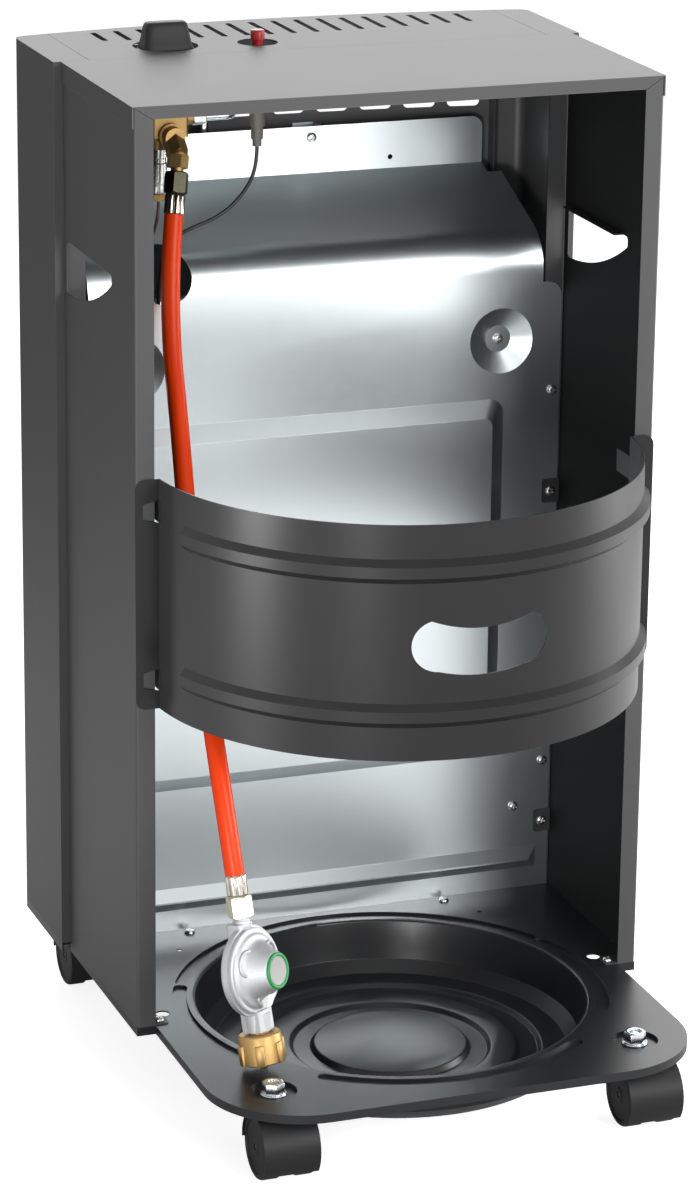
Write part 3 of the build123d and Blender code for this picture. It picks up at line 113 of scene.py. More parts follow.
# ---------------------------------------------------------------- settings
class HeaterSizes(bpy.types.PropertyGroup):
    """Sizes that a user may change without touching the frame."""

    hose_diameter: FloatProperty(
        name="Hose diameter", description="Outside of the gas hose", default=15 * MM, unit="LENGTH"
    )
    igniter_lead_diameter: FloatProperty(
        name="Igniter lead", description="Outside of the igniter's lead", default=3 * MM, unit="LENGTH"
    )
    sensor_lead_diameter: FloatProperty(
        name="Sensor lead", description="Outside of the sensor's lead", default=2.4 * MM, unit="LENGTH"
    )
    edge_radius: FloatProperty(
        name="Sheet edge", description="Rounding on cut sheet edges", default=0.5 * MM, unit="LENGTH"
    )


class HeaterColours(bpy.types.PropertyGroup):
    """Main colours of the finishes."""

    belt: FloatVectorProperty(
        name="Belt coat", description="Bottle belt", subtype="COLOR", size=3, default=(0.009, 0.009, 0.0094)
    )
    coat: FloatVectorProperty(
        name="Powder coat", description="Cabinet", subtype="COLOR", size=3, default=(0.046, 0.046, 0.048)
    )
    pan: FloatVectorProperty(
        name="Pan", description="Base pan enamel", subtype="COLOR", size=3, default=(0.014, 0.0145, 0.016)
    )
    zinc: FloatVectorProperty(
        name="Galvanised sheet", description="Heat shield", subtype="COLOR", size=3, default=(0.8, 0.86, 0.88)
    )
    hose: FloatVectorProperty(
        name="Hose", description="Gas hose", subtype="COLOR", size=3, default=(1.0, 0.058, 0.003)
    )
    brass: FloatVectorProperty(
        name="Brass", description="Valve and bottle nut", subtype="COLOR", size=3, default=(0.44, 0.285, 0.115)
    )
    button: FloatVectorProperty(
        name="Button", description="Igniter button", subtype="COLOR", size=3, default=(0.42, 0.012, 0.015)
    )


# ---------------------------------------------------------------- node helpers
def add(tree, kind, inputs, **attributes):
    """Node with its attributes set, and its inputs given by name or number as values or sockets."""
    made = tree.nodes.new(kind)
    for name, value in attributes.items():
        setattr(made, name, value)
    for key, value in inputs.items():
        if isinstance(value, bpy.types.NodeSocket):
            tree.links.new(value, made.inputs[key])
        else:
            made.inputs[key].default_value = value
    return made


def math_node(tree, operation, a, b=None, clamp=False):
    """Result of a sum on numbers or sockets."""
    inputs = {i: value for i, value in enumerate((a, b)) if value is not None}
    return add(tree, "ShaderNodeMath", inputs, operation=operation, use_clamp=clamp).outputs[0]


def map_range(tree, value, low, high, to_low, to_high):
    """Value carried from one range to another, clamped."""
    inputs = {"Value": value, "From Min": low, "From Max": high, "To Min": to_low, "To Max": to_high}
    return add(tree, "ShaderNodeMapRange", inputs).outputs["Result"]


def mix_colour(tree, factor, a, b):
    """Mixed colour; a and b are colours or sockets."""
    a, b = ((*value[:3], 1.0) if isinstance(value, tuple) else value for value in (a, b))
    return add(tree, "ShaderNodeMix", {0: factor, 6: a, 7: b}, data_type="RGBA").outputs[2]


def vector_node(tree, operation, inputs):
    """Result of a sum on vectors; a length comes as its value."""
    made = add(tree, "ShaderNodeVectorMath", inputs, operation=operation)
    return made.outputs["Value" if operation == "LENGTH" else "Vector"]


def noise(tree, vector, scale, detail=2.0, rough=0.5):
    """Outputs of a noise texture read at vector; scale is a number or a socket."""
    inputs = {"Vector": vector, "Scale": scale, "Detail": detail, "Roughness": rough}
    return add(tree, "ShaderNodeTexNoise", inputs).outputs


# ---------------------------------------------------------------- shader groups
def new_group(name, numbers, results):
    """Shader group that reads a vector and named numbers; returns it with its source and sink sockets."""
    group = bpy.data.node_groups.new(name, "ShaderNodeTree")
    group.interface.new_socket("Vector", in_out="INPUT", socket_type="NodeSocketVector")
    for label, default in numbers.items():
        socket = group.interface.new_socket(label, in_out="INPUT", socket_type="NodeSocketFloat")
        socket.default_value = default
    for label in results:
        group.interface.new_socket(label, in_out="OUTPUT", socket_type="NodeSocketFloat")
    return group, group.nodes.new("NodeGroupInput").outputs, group.nodes.new("NodeGroupOutput").inputs


def grain_group():
    """Fine moulded or powder-coated grain: a height, and a slow mottling and a fine speckle from 0 to 1."""
    group, source, sink = new_group("Surface grain", {"Grain size": 900.0}, ("Height", "Mottle", "Fine"))
    vector, size = source["Vector"], source["Grain size"]
    fine = noise(group, vector, size, 3.0, 0.65)["Fac"]
    coarse = noise(group, vector, math_node(group, "MULTIPLY", size, 0.38))["Fac"]
    slow = noise(group, vector, 9.0, 3.0)["Fac"]
    height = math_node(group, "ADD", fine, math_node(group, "MULTIPLY", coarse, 0.8))
    group.links.new(height, sink["Height"])
    group.links.new(map_range(group, slow, 0.3, 0.7, 0.0, 1.0), sink["Mottle"])
    group.links.new(map_range(group, fine, 0.35, 0.65, 0.0, 1.0), sink["Fine"])
    return group


def wear_group():
    """Rubbed convex edges and settled dust, both masks from 0 to 1."""
    group, source, sink = new_group("Edge and dust", {"Edge start": 0.53}, ("Edge", "Dust"))
    vector, start = source["Vector"], source["Edge start"]
    geometry = group.nodes.new("ShaderNodeNewGeometry").outputs
    edge = map_range(group, geometry["Pointiness"], start, math_node(group, "ADD", start, 0.06), 0.0, 1.0)
    rubbed = map_range(group, noise(group, vector, 55.0, 4.0)["Fac"], 0.42, 0.62, 0.25, 1.0)
    group.links.new(math_node(group, "MULTIPLY", edge, rubbed), sink["Edge"])
    split = add(group, "ShaderNodeSeparateXYZ", {0: geometry["Normal"]})
    up = map_range(group, split.outputs["Z"], 0.55, 1.0, 0.0, 1.0)
    film = map_range(group, noise(group, vector, 26.0, 5.0)["Fac"], 0.35, 0.7, 0.2, 1.0)
    group.links.new(math_node(group, "MULTIPLY", up, film), sink["Dust"])
    return group


def spangle_group():
    """Zinc spangle and rolling marks of galvanised sheet: two masks and a height."""
    group, source, sink = new_group("Zinc spangle", {"Spangle": 130.0}, ("Crystal", "Rolling", "Height"))
    vector = source["Vector"]
    bend = vector_node(group, "SCALE", {0: noise(group, vector, 60.0)["Color"], "Scale": 0.006})
    moved = vector_node(group, "ADD", {0: vector, 1: bend})
    cells = add(group, "ShaderNodeTexVoronoi", {"Vector": moved, "Scale": source["Spangle"]})
    grey = add(group, "ShaderNodeRGBToBW", {0: cells.outputs["Color"]}).outputs[0]
    stretch = vector_node(group, "MULTIPLY", {0: vector, 1: (1.0, 0.06, 0.06)})
    fine = noise(group, vector, 700.0)["Fac"]
    group.links.new(grey, sink["Crystal"])
    group.links.new(noise(group, stretch, 420.0, 3.0)["Fac"], sink["Rolling"])
    group.links.new(math_node(group, "ADD", math_node(group, "MULTIPLY", grey, 0.5), fine), sink["Height"])
    return group


# ---------------------------------------------------------------- finishes
GROUPS = {}  # shader groups by name
FINISH = {}  # materials by the name of the finish
DUST = (0.42, 0.41, 0.4)  # on coated sheet
LINT = (0.4, 0.4, 0.4)  # on plastic and rubber


def material(name, base, **values):
    """Principled material with input values by name; returns it, its tree, its inputs and Object coordinates."""
    mat = bpy.data.materials.new(name)
    mat.use_nodes = True
    tree = mat.node_tree
    shader = tree.nodes["Principled BSDF"].inputs
    shader["Base Color"].default_value = (*base[:3], 1.0)
    for label, value in values.items():
        shader[label.replace("_", " ")].default_value = value
    return mat, tree, shader, tree.nodes.new("ShaderNodeTexCoord").outputs["Object"]


def use_group(tree, group, vector, **values):
    """Outputs of a shader group placed in a material, reading vector."""
    inputs = {name.replace("_", " "): value for name, value in values.items()}
    return add(tree, "ShaderNodeGroup", {"Vector": vector, **inputs}, node_tree=GROUPS[group]).outputs


def bump(tree, shader, height, strength, distance):
    """Bump from a height socket to the shader's normal."""
    inputs = {"Strength": strength, "Distance": distance, "Height": height}
    tree.links.new(add(tree, "ShaderNodeBump", inputs).outputs[0], shader["Normal"])


def scaled(colour, share):
    """Colour made lighter or darker."""
    return tuple(min(1.0, c * share) for c in colour[:3])


def coated_metal(name, colour, grain, rough, relief, ior=1.5):
    """Powder-coated or enamelled sheet."""
    mat, tree, shader, place = material(name, colour, Roughness=rough, IOR=ior)
    skin = use_group(tree, "grain", place, Grain_size=grain)
    wear = use_group(tree, "wear", place)
    tone = mix_colour(tree, skin["Mottle"], scaled(colour, 0.975), scaled(colour, 1.025))
    tone = mix_colour(tree, math_node(tree, "MULTIPLY", skin["Fine"], 0.07), tone, scaled(colour, 1.7))
    tone = mix_colour(tree, math_node(tree, "MULTIPLY", wear["Dust"], 0.015), tone, DUST)
    tree.links.new(tone, shader["Base Color"])
    gloss = map_range(tree, skin["Mottle"], 0.0, 1.0, rough - 0.004, rough + 0.004)
    tree.links.new(gloss, shader["Roughness"])
    bump(tree, shader, skin["Height"], 0.2, relief)
    return mat


def galvanised_sheet(name, colour):
    """Bright zinc-coated sheet with faint spangle and rolling marks."""
    mat, tree, shader, place = material(name, colour, Metallic=1.0, Roughness=0.33, IOR=1.45)
    zinc = use_group(tree, "spangle", place, Spangle=210.0)
    skin = use_group(tree, "grain", place, Grain_size=500.0)
    tone = mix_colour(tree, zinc["Crystal"], scaled(colour, 0.992), scaled(colour, 1.008))
    tone = mix_colour(tree, skin["Mottle"], tone, scaled(colour, 0.985))
    tree.links.new(tone, shader["Base Color"])
    gloss = map_range(tree, zinc["Crystal"], 0.2, 0.9, 0.323, 0.336)
    streak = map_range(tree, zinc["Rolling"], 0.3, 0.7, -0.003, 0.004)
    tree.links.new(math_node(tree, "ADD", gloss, streak), shader["Roughness"])
    bump(tree, shader, zinc["Height"], 0.03, 0.04 * MM)
    return mat


def plated_metal(name, colour, rough, grain=1200.0, relief=0.04 * MM, tarnish=0.85):
    """Solid metal: zinc plate, brass, aluminium or die-cast, with light tarnish and handling marks."""
    mat, tree, shader, place = material(name, colour, Metallic=1.0, Roughness=rough, IOR=1.45)
    skin = use_group(tree, "grain", place, Grain_size=grain)
    wear = use_group(tree, "wear", place, Edge_start=0.57)
    tone = mix_colour(tree, skin["Mottle"], colour, scaled(colour, tarnish))
    tone = mix_colour(tree, math_node(tree, "MULTIPLY", wear["Edge"], 0.5), tone, scaled(colour, 1.3))
    tree.links.new(tone, shader["Base Color"])
    tree.links.new(map_range(tree, skin["Fine"], 0, 1, rough - 0.04, rough + 0.08), shader["Roughness"])
    bump(tree, shader, skin["Height"], 0.3, relief)
    return mat


def moulded(name, colour, rough, grain=1500.0, relief=0.03 * MM, ior=1.46):
    """Moulded plastic or rubber."""
    mat, tree, shader, place = material(name, colour, Roughness=rough, IOR=ior)
    skin = use_group(tree, "grain", place, Grain_size=grain)
    wear = use_group(tree, "wear", place)
    tone = mix_colour(tree, skin["Mottle"], scaled(colour, 0.92), scaled(colour, 1.1))
    tone = mix_colour(tree, math_node(tree, "MULTIPLY", wear["Dust"], 0.06), tone, LINT)
    tree.links.new(tone, shader["Base Color"])
    tree.links.new(map_range(tree, skin["Fine"], 0, 1, rough - 0.04, rough + 0.06), shader["Roughness"])
    bump(tree, shader, skin["Height"], 0.35, relief)
    return mat


def ceramic_glaze(name):
    """Glazed white insulator, stained in places."""
    mat, tree, shader, place = material(
        name, (0.78, 0.75, 0.68), Roughness=0.2, IOR=1.45, Coat_Weight=0.5, Coat_Roughness=0.05
    )
    skin = use_group(tree, "grain", place, Grain_size=400.0)
    tone = mix_colour(tree, skin["Mottle"], (0.8, 0.77, 0.7), (0.66, 0.6, 0.52))
    tree.links.new(tone, shader["Base Color"])
    return mat


def build_finishes(colours):
    """All finishes by name."""
    coat, belt, pan, zinc, hose, brass, button = (
        tuple(getattr(colours, name)) for name in ("coat", "belt", "pan", "zinc", "hose", "brass", "button")
    )
    # rubbed: 3.2 times the cabinet coat's colour on every rounded edge, partly rubbed wear and partly a painted
    # highlight
    rubbed, inner_shade = scaled(coat, 3.2), scaled(belt, 0.8)
    steel, bright, yellow, olive = (0.6, 0.6, 0.58), (0.62, 0.65, 0.7), (0.7, 0.69, 0.5), (0.05, 0.048, 0.032)
    nickel, scorched, cast, silver = (0.5, 0.46, 0.4), (0.2, 0.2, 0.21), (0.5, 0.51, 0.52), (0.85, 0.86, 0.87)
    black, brown, mould = (0.012, 0.012, 0.013), (0.06, 0.022, 0.014), (0.013, 0.013, 0.0135)
    taupe, pale, green = (0.14, 0.135, 0.118), (0.36, 0.36, 0.345), (0.02, 0.27, 0.07)
    polish = 0.01 * MM
    return {
        "coated_sheet": coated_metal("Anthracite powder coat", coat, 1150.0, 0.5, 0.04 * MM),
        "belt_coat": coated_metal("Satin belt coat", belt, 1300.0, 0.3, 0.03 * MM, ior=1.33),
        "rubbed_and_highlit_edge_coat": coated_metal("Rubbed coat on edges", rubbed, 1150.0, 0.34, 0.02 * MM),
        # the inner coat, inner_shade above, is the belt's coat darkened again: painted shade on faces inside the
        # cabinet
        "painted_shade_inner_coat": coated_metal("Inner primer coat", inner_shade, 1150.0, 0.7, 0.02 * MM, ior=1.2),
        "black_pan": coated_metal("Black pan enamel", pan, 1500.0, 0.32, 0.03 * MM, ior=1.42),
        "galvanised": galvanised_sheet("Galvanised sheet", zinc),
        "zinc_steel": plated_metal("Zinc plated steel", steel, 0.24, tarnish=0.94),
        "bright_zinc": plated_metal("Bright zinc fasteners", bright, 0.2, relief=polish, tarnish=0.96),
        "yellow_zinc": plated_metal("Yellow passivated zinc", yellow, 0.36, tarnish=0.94),
        "olive_zinc": plated_metal("Olive passivated steel", olive, 0.38),
        "nickel": plated_metal("Nickel plated ferrule", nickel, 0.2, relief=polish, tarnish=0.92),
        "dark_steel": plated_metal("Heat darkened steel", scorched, 0.42),
        "brass": plated_metal("Turned brass", brass, 0.48, tarnish=0.86),
        "cast_metal": plated_metal("Die-cast zinc alloy", cast, 0.6, 800.0, 0.07 * MM, tarnish=0.95),
        "aluminium": plated_metal("Drawn aluminium", silver, 0.16, relief=polish),
        "hose_rubber": moulded("Orange-red hose", hose, 0.34, 900.0, 0.02 * MM, ior=1.32),
        "black_lead": moulded("Black lead sleeve", black, 0.4),
        "brown_lead": moulded("Brown lead sleeve", brown, 0.45),
        "black_plastic": moulded("Black moulded plastic", mould, 0.47, ior=1.33),
        "red_plastic": moulded("Red button plastic", button, 0.3),
        "grey_plastic": moulded("Taupe plastic", taupe, 0.5),
        "pale_plastic": moulded("Pale cap plastic", pale, 0.45),
        "green_plastic": moulded("Green ring", green, 0.4),
        "ceramic": ceramic_glaze("Glazed ceramic"),
    }


# ---------------------------------------------------------------- mesh helpers
def link(name, data, finish=None):
    """Object in the scene for a mesh or other data, with one finish where it is given."""
    obj = bpy.data.objects.new(name, data)
    bpy.context.scene.collection.objects.link(obj)
    if finish:
        data.materials.clear()
        data.materials.append(FINISH[finish])
    return obj


def opened(*meshes):
    """One bmesh with all these meshes in it."""
    bm = bmesh.new()
    for mesh in meshes:
        bm.from_mesh(mesh)
    return bm


def closed(bm, name):
    """Mesh from a bmesh, which ends there."""
    mesh = bpy.data.meshes.new(name)
    bm.to_mesh(mesh)
    bm.free()
    return mesh


def rewritten(obj, bm):
    """The object with its own mesh written anew from a bmesh."""
    bm.to_mesh(obj.data)
    bm.free()
    return obj


def joined(*parts):
    """One bmesh from several."""
    meshes = [closed(part, "part") for part in parts]
    whole = opened(*meshes)
    for mesh in meshes:
        bpy.data.meshes.remove(mesh)
    return whole


def crisp(bm, angle):
    """Smooth faces, with edges sharper than angle kept sharp."""
    for face in bm.faces:
        face.smooth = True
    for edge in bm.edges:
        if len(edge.link_faces) == 2:
            edge.smooth = edge.calc_face_angle(0.0) < radians(angle)
    return bm


def to_mesh(bm, name, angle):
    """Mesh from a bmesh, with doubles merged, normals outward and sharp edges marked."""
    bmesh.ops.remove_doubles(bm, verts=bm.verts, dist=WELD)
    bmesh.ops.recalc_face_normals(bm, faces=bm.faces)
    return closed(crisp(bm, angle), name)


def add_bevel(obj, width, segments, angle, rim=None):
    """Rounded edges with hardened normals; rim names the finish of the rounding where it has its own."""
    if width <= 0:
        return
    mod = obj.modifiers.new("Edge rounding", "BEVEL")
    mod.width = width
    mod.segments = segments
    mod.limit_method = "ANGLE"
    mod.angle_limit = radians(angle)
    mod.harden_normals = True
    if rim:
        obj.data.materials.append(FINISH[rim])
        mod.material = len(obj.data.materials) - 1


def evaluated(obj):
    """Mesh of an object as its modifiers or its bevel make it."""
    bpy.context.view_layer.update()
    graph = bpy.context.evaluated_depsgraph_get()
    return bpy.data.meshes.new_from_object(obj.evaluated_get(graph), depsgraph=graph)


def baked(obj):
    """The object with its modifiers applied to its own mesh."""
    mesh = evaluated(obj)
    obj.modifiers.clear()
    obj.data = mesh
    return obj


def shaped(name, bm, finish=None, matrix=None, edge=0.0, segments=2, angle=SOFT_ANGLE):
    """Object from a bmesh: placed, with rounded edges, as a plain mesh; a pattern for copying has no finish."""
    if matrix:
        bmesh.ops.transform(bm, matrix=matrix, verts=bm.verts)
    obj = link(name, to_mesh(bm, name, angle), finish)
    if edge:
        add_bevel(obj, edge, segments, angle)
        baked(obj)
    return obj


def dropped(*objects):
    """Takes patterns away once they have been used."""
    for obj in objects:
        bpy.data.objects.remove(obj)


# ---------------------------------------------------------------- CAD nodes
def body_name(node):
    """Body that carries a CAD node."""
    bodies = frame["record"]["behaviour"]["bodies"]
    return next(body for body, members in bodies.items() if node in members)


def slot_of(node):
    """Material slot of a CAD node in the record."""
    return next(entry["material_slot"] for entry in frame["record"]["subparts"] if entry["node"] == node)


def settle(obj, node):
    """Hands a finished piece to the frame: it rides on the node's body and stands for the node."""
    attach(obj, body_name(node))
    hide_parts(node)
    return obj


def welded(node):
    """Copy of a CAD node's mesh as a bmesh, with its loose triangles joined."""
    bm = opened(frame["nodes"][node].data)
    bmesh.ops.remove_doubles(bm, verts=bm.verts, dist=WELD)
    return bm


def islands(node):
    """Separate solids of a CAD node, in one fixed order: the lowest and highest corner of each."""
    bm = welded(node)
    left = set(bm.verts)
    boxes = []
    while left:
        front = [left.pop()]
        low, high = front[0].co.copy(), front[0].co.copy()
        while front:
            vert = front.pop()
            for i in range(3):
                low[i] = min(low[i], vert.co[i])
                high[i] = max(high[i], vert.co[i])
            for edge in vert.link_edges:
                other = edge.other_vert(vert)
                if other in left:
                    left.remove(other)
                    front.append(other)
        boxes.append((low, high))
    bm.free()
    return sorted(boxes, key=lambda box: [round(value, 4) for value in box[0]], reverse=True)


def dressed(node, edge=None, segments=2, angle=SOFT_ANGLE, extra=None, finish=None):
    """Copy of a CAD node with flat areas made one face and rounded edges, and with an extra mesh if given."""
    bm = welded(node)
    bmesh.ops.dissolve_limit(
        bm, angle_limit=FLAT, verts=bm.verts, edges=bm.edges, use_dissolve_boundaries=False
    )
    finish = finish or slot_of(node)
    obj = link(f"{node}_finished", closed(crisp(bm, angle), node), finish)
    # coated sheet and belt get a lighter coat on their rounded edges: partly rubbed wear, partly a painted highlight
    rim = "rubbed_and_highlit_edge_coat" if finish in ("coated_sheet", "belt_coat") else None
    usual = bpy.context.scene.heater_sizes.edge_radius
    add_bevel(obj, usual if edge is None else edge, segments, angle, rim)
    if extra:
        baked(obj)
        rewritten(obj, opened(obj.data, extra))
    return settle(obj, node)


def foot_of(node):
    """Middle of a CAD node's underside, and the node's height in millimetres."""
    low, high = (Vector(corner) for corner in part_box(node))
    return Vector(((low.x + high.x) / 2, (low.y + high.y) / 2, low.z)), (high.z - low.z) / MM


# ---------------------------------------------------------------- shapes, their sizes in millimetres
def axes(origin, z_dir, x_dir=None):
    """Placing matrix with its Z along z_dir and its X as near x_dir as it can be."""
    z = Vector(z_dir).normalized()
    x = Vector(x_dir) if x_dir else Vector((1, 0, 0) if abs(z.x) < 0.9 else (0, 1, 0))
    x = (x - z * x.dot(z)).normalized()
    turned = Matrix((x, z.cross(x), z)).transposed().to_4x4()
    return Matrix.Translation(origin) @ turned


def circle(radius, height, steps):
    """Ring of points about Z; without a radius it is one point."""
    turns = [2 * pi * i / steps for i in range(steps if radius else 1)]
    return [(radius * cos(a) * MM, radius * sin(a) * MM, height * MM) for a in turns]


def skinned(rings, loop=False, caps=False):
    """Bmesh through rings of points; a loop closes on its first ring, and caps close both ends."""
    bm = bmesh.new()
    rings = [[bm.verts.new(point) for point in ring] for ring in rings]
    steps = max(len(ring) for ring in rings)
    for a, b in list(zip(rings, rings[1:])) + ([(rings[-1], rings[0])] if loop else []):
        for i in range(steps):
            j = (i + 1) % steps
            bm.faces.new(dict.fromkeys((a[i % len(a)], a[j % len(a)], b[j % len(b)], b[i % len(b)])))
    if caps:
        bm.faces.new(reversed(rings[0]))
        bm.faces.new(rings[-1])
    return bm


def lathe(profile, steps=48, hollow=False):
    """Turned body about Z from (radius, height) points; a hollow one closes on itself."""
    return skinned([circle(radius, height, steps) for radius, height in profile], loop=hollow)


def prism(points, low, high):
    """Upright body from plan points, between two heights."""
    return skinned([[(x * MM, y * MM, z * MM) for x, y in points] for z in (low, high)], caps=True)


def chamfered_nut(flats, low, high, bore=None):
    """Hexagonal nut: the hexagon cut back by a 30 degree cone at both ends, with a bore where one is given."""
    steps, tip, ease = 72, flats / 2 * 0.97, 0.6
    corners = []
    for i in range(steps):
        a = 2 * pi * i / steps
        radius = flats / 2 / cos((a + pi / 6) % (pi / 3) - pi / 6)
        corners.append((radius * cos(a) * MM, radius * sin(a) * MM, (radius - tip) * tan(radians(30))))
    rings = [
        circle(tip, low, steps), [(x, y, (low + drop) * MM) for x, y, drop in corners],
        [(x, y, (high - drop) * MM) for x, y, drop in corners], circle(tip, high, steps)
    ]
    if bore:
        inside = ((bore + ease, high), (bore, high - ease), (bore, low + ease), (bore + ease, low))
        rings += [circle(radius, z, steps) for radius, z in inside]
    return skinned(rings, loop=bool(bore), caps=not bore)


# ---------------------------------------------------------------- geometry nodes
TREES = {}  # geometry node trees by name
KINDS = {int: "Int", float: "Float", tuple: "Vector", type(None): "Object"}


def new_tree(name, **settings):
    """Geometry node tree with named settings; returns it with its source and sink sockets."""
    tree = bpy.data.node_groups.new(name, "GeometryNodeTree")

    def socket(label, kind, way="INPUT"):
        return tree.interface.new_socket(label, in_out=way, socket_type=f"NodeSocket{kind}")

    socket("Geometry", "Geometry")
    for label, default in settings.items():
        made = socket(label.replace("_", " "), KINDS[type(default)])
        if default is not None:
            made.default_value = default
    socket("Finish", "Material")
    socket("Geometry", "Geometry", "OUTPUT")
    return tree, tree.nodes.new("NodeGroupInput").outputs, tree.nodes.new("NodeGroupOutput").inputs


def along_z(tree, z):
    """Vector along Z."""
    return add(tree, "ShaderNodeCombineXYZ", {"Z": z}).outputs[0]


def turned_about_z(tree, angle):
    """Rotation by an angle about Z."""
    return add(tree, "FunctionNodeEulerToRotation", {0: along_z(tree, angle)}).outputs[0]


def rod(tree, curve, radius, sides):
    """Rod along a curve, closed at its ends."""
    section = add(tree, "GeometryNodeCurvePrimitiveCircle", {"Resolution": sides, "Radius": radius})
    inputs = {"Curve": curve, "Profile Curve": section.outputs[0], "Fill Caps": True}
    return add(tree, "GeometryNodeCurveToMesh", inputs).outputs[0]


def copies(tree, points, piece, **more):
    """Copies of a piece on points."""
    return add(tree, "GeometryNodeInstanceOnPoints", {"Points": points, "Instance": piece, **more}).outputs[0]


def moved(tree, shape, offset):
    """Shape moved by an offset."""
    return add(tree, "GeometryNodeTransform", {"Geometry": shape, "Translation": offset}).outputs[0]


def finish_tree(tree, source, sink, *shapes):
    """Ends a tree: the shapes joined, made real and given their finish."""
    join = tree.nodes.new("GeometryNodeJoinGeometry")
    for shape in shapes:
        tree.links.new(shape, join.inputs[0])
    real = add(tree, "GeometryNodeRealizeInstances", {"Geometry": join.outputs[0]})
    coat = add(tree, "GeometryNodeSetMaterial", {"Geometry": real.outputs[0], "Material": source["Finish"]})
    tree.links.new(coat.outputs[0], sink["Geometry"])
    return tree


def points_tree():
    """A piece on every point, each turned about its own axis by a seeded random angle."""
    tree, source, sink = new_tree("Pieces on points", Piece=None, Facing=(0, 0, 0), Seed=3)
    piece = add(tree, "GeometryNodeObjectInfo", {"Object": source["Piece"]}).outputs["Geometry"]
    facing = add(tree, "FunctionNodeEulerToRotation", {0: source["Facing"]}).outputs[0]
    chance = add(tree, "FunctionNodeRandomValue", {2: 0.0, 3: 2 * pi, "Seed": source["Seed"]}, data_type="FLOAT")
    turned = add(tree, "GeometryNodeRotateInstances", {
        "Instances": copies(tree, source["Geometry"], piece, Rotation=facing),
        "Rotation": turned_about_z(tree, chance.outputs[1]), "Local Space": True
    })
    return finish_tree(tree, source, sink, turned.outputs[0])


def ring_tree():
    """Copies of a piece set round the Z axis, added to the body that comes in."""
    tree, source, sink = new_tree("Pieces round an axis", Piece=None, Count=8)
    piece = add(tree, "GeometryNodeObjectInfo", {"Object": source["Piece"]}).outputs["Geometry"]
    seats = add(tree, "GeometryNodeMeshLine", {"Count": source["Count"], "Offset": (0, 0, 0)}).outputs[0]
    number = tree.nodes.new("GeometryNodeInputIndex").outputs[0]
    step = math_node(tree, "DIVIDE", 2 * pi, source["Count"])
    turn = turned_about_z(tree, math_node(tree, "MULTIPLY", number, step))
    return finish_tree(tree, source, sink, source["Geometry"], copies(tree, seats, piece, Rotation=turn))


def thread_tree():
    """Screw thread wound round Z, added to the body that comes in."""
    tree, source, sink = new_tree(
        "Thread", Radius=4 * MM, Pitch=1.25 * MM, Length=8 * MM, Depth=0.4 * MM, Start=0.0
    )
    length, radius = source["Length"], source["Radius"]
    spiral = add(tree, "GeometryNodeCurveSpiral", {
        "Resolution": 28, "Rotations": math_node(tree, "DIVIDE", length, source["Pitch"]),
        "Start Radius": radius, "End Radius": radius, "Height": length
    })
    ridge = moved(tree, rod(tree, spiral.outputs[0], source["Depth"], 4), along_z(tree, source["Start"]))
    return finish_tree(tree, source, sink, source["Geometry"], ridge)


def guard_tree():
    """Welded guard: upright wires spaced along a bowed line, and cross bars that follow the path coming in."""
    tree, source, sink = new_tree(
        "Wire guard", Wires=13, Half_width=120 * MM, Bow_radius=1.16, Bow_centre=0.92, Foot=0.25, Height=0.3,
        Wire_radius=1.5 * MM, Bar_radius=2 * MM, Bars=3, Bar_inset=3 * MM
    )
    foot, height, inset, count = (source[label] for label in ("Foot", "Height", "Bar inset", "Bars"))
    radius = source["Bow radius"]
    half = math_node(tree, "ARCSINE", math_node(tree, "DIVIDE", source["Half width"], radius))
    arc = add(tree, "GeometryNodeCurveArc", {
        "Resolution": 60, "Radius": radius, "Start Angle": math_node(tree, "SUBTRACT", -pi / 2, half),
        "Sweep Angle": math_node(tree, "MULTIPLY", half, 2.0)
    })
    spaced = add(tree, "GeometryNodeResampleCurve", {"Curve": arc.outputs[0], "Count": source["Wires"]})
    centre = add(tree, "ShaderNodeCombineXYZ", {"Y": source["Bow centre"], "Z": foot})
    line = add(tree, "GeometryNodeCurvePrimitiveLine", {"Start": (0, 0, 0), "End": along_z(tree, height)})
    wire = rod(tree, line.outputs[0], source["Wire radius"], 12)
    wires = copies(tree, moved(tree, spaced.outputs[0], centre.outputs[0]), wire)

    path = add(tree, "GeometryNodeMeshToCurve", {"Mesh": source["Geometry"]})
    bar = rod(tree, path.outputs[0], source["Bar radius"], 12)
    span = math_node(tree, "SUBTRACT", height, math_node(tree, "MULTIPLY", inset, 2.0))
    gap = math_node(tree, "DIVIDE", span, math_node(tree, "SUBTRACT", count, 1.0))
    lowest = math_node(tree, "ADD", foot, inset)
    levels = add(tree, "GeometryNodeMeshLine", {
        "Count": count, "Start Location": along_z(tree, lowest), "Offset": along_z(tree, gap)
    })
    return finish_tree(tree, source, sink, wires, copies(tree, levels.outputs[0], bar))


def grown(name, bm, tree, finish, matrix=None, angle=SOFT_ANGLE, **settings):
    """Plain mesh that a geometry node tree makes of a bmesh, with its named settings."""
    obj = link(name, closed(bm, name))
    mod = obj.modifiers.new(TREES[tree].name, "NODES")
    mod.node_group = TREES[tree]
    values = {label.replace("_", " "): value for label, value in settings.items()}
    values["Finish"] = FINISH[finish]
    for item in TREES[tree].interface.items_tree:
        if item.item_type == "SOCKET" and item.in_out == "INPUT" and item.name in values:
            mod[item.identifier] = values[item.name]
    baked(obj)
    if not obj.data.polygons:
        raise RuntimeError(f"{name} came out empty")
    rewritten(obj, crisp(opened(obj.data), angle))
    if matrix:
        obj.data.transform(matrix)
    return obj


def on_points(name, node, pattern, points, facing, finish, seed):
    """Copies of a pattern on points, standing for a CAD node."""
    bm = bmesh.new()
    for point in points:
        bm.verts.new(point)
    return settle(grown(name, bm, "points", finish, Piece=pattern, Facing=facing, Seed=seed), node)


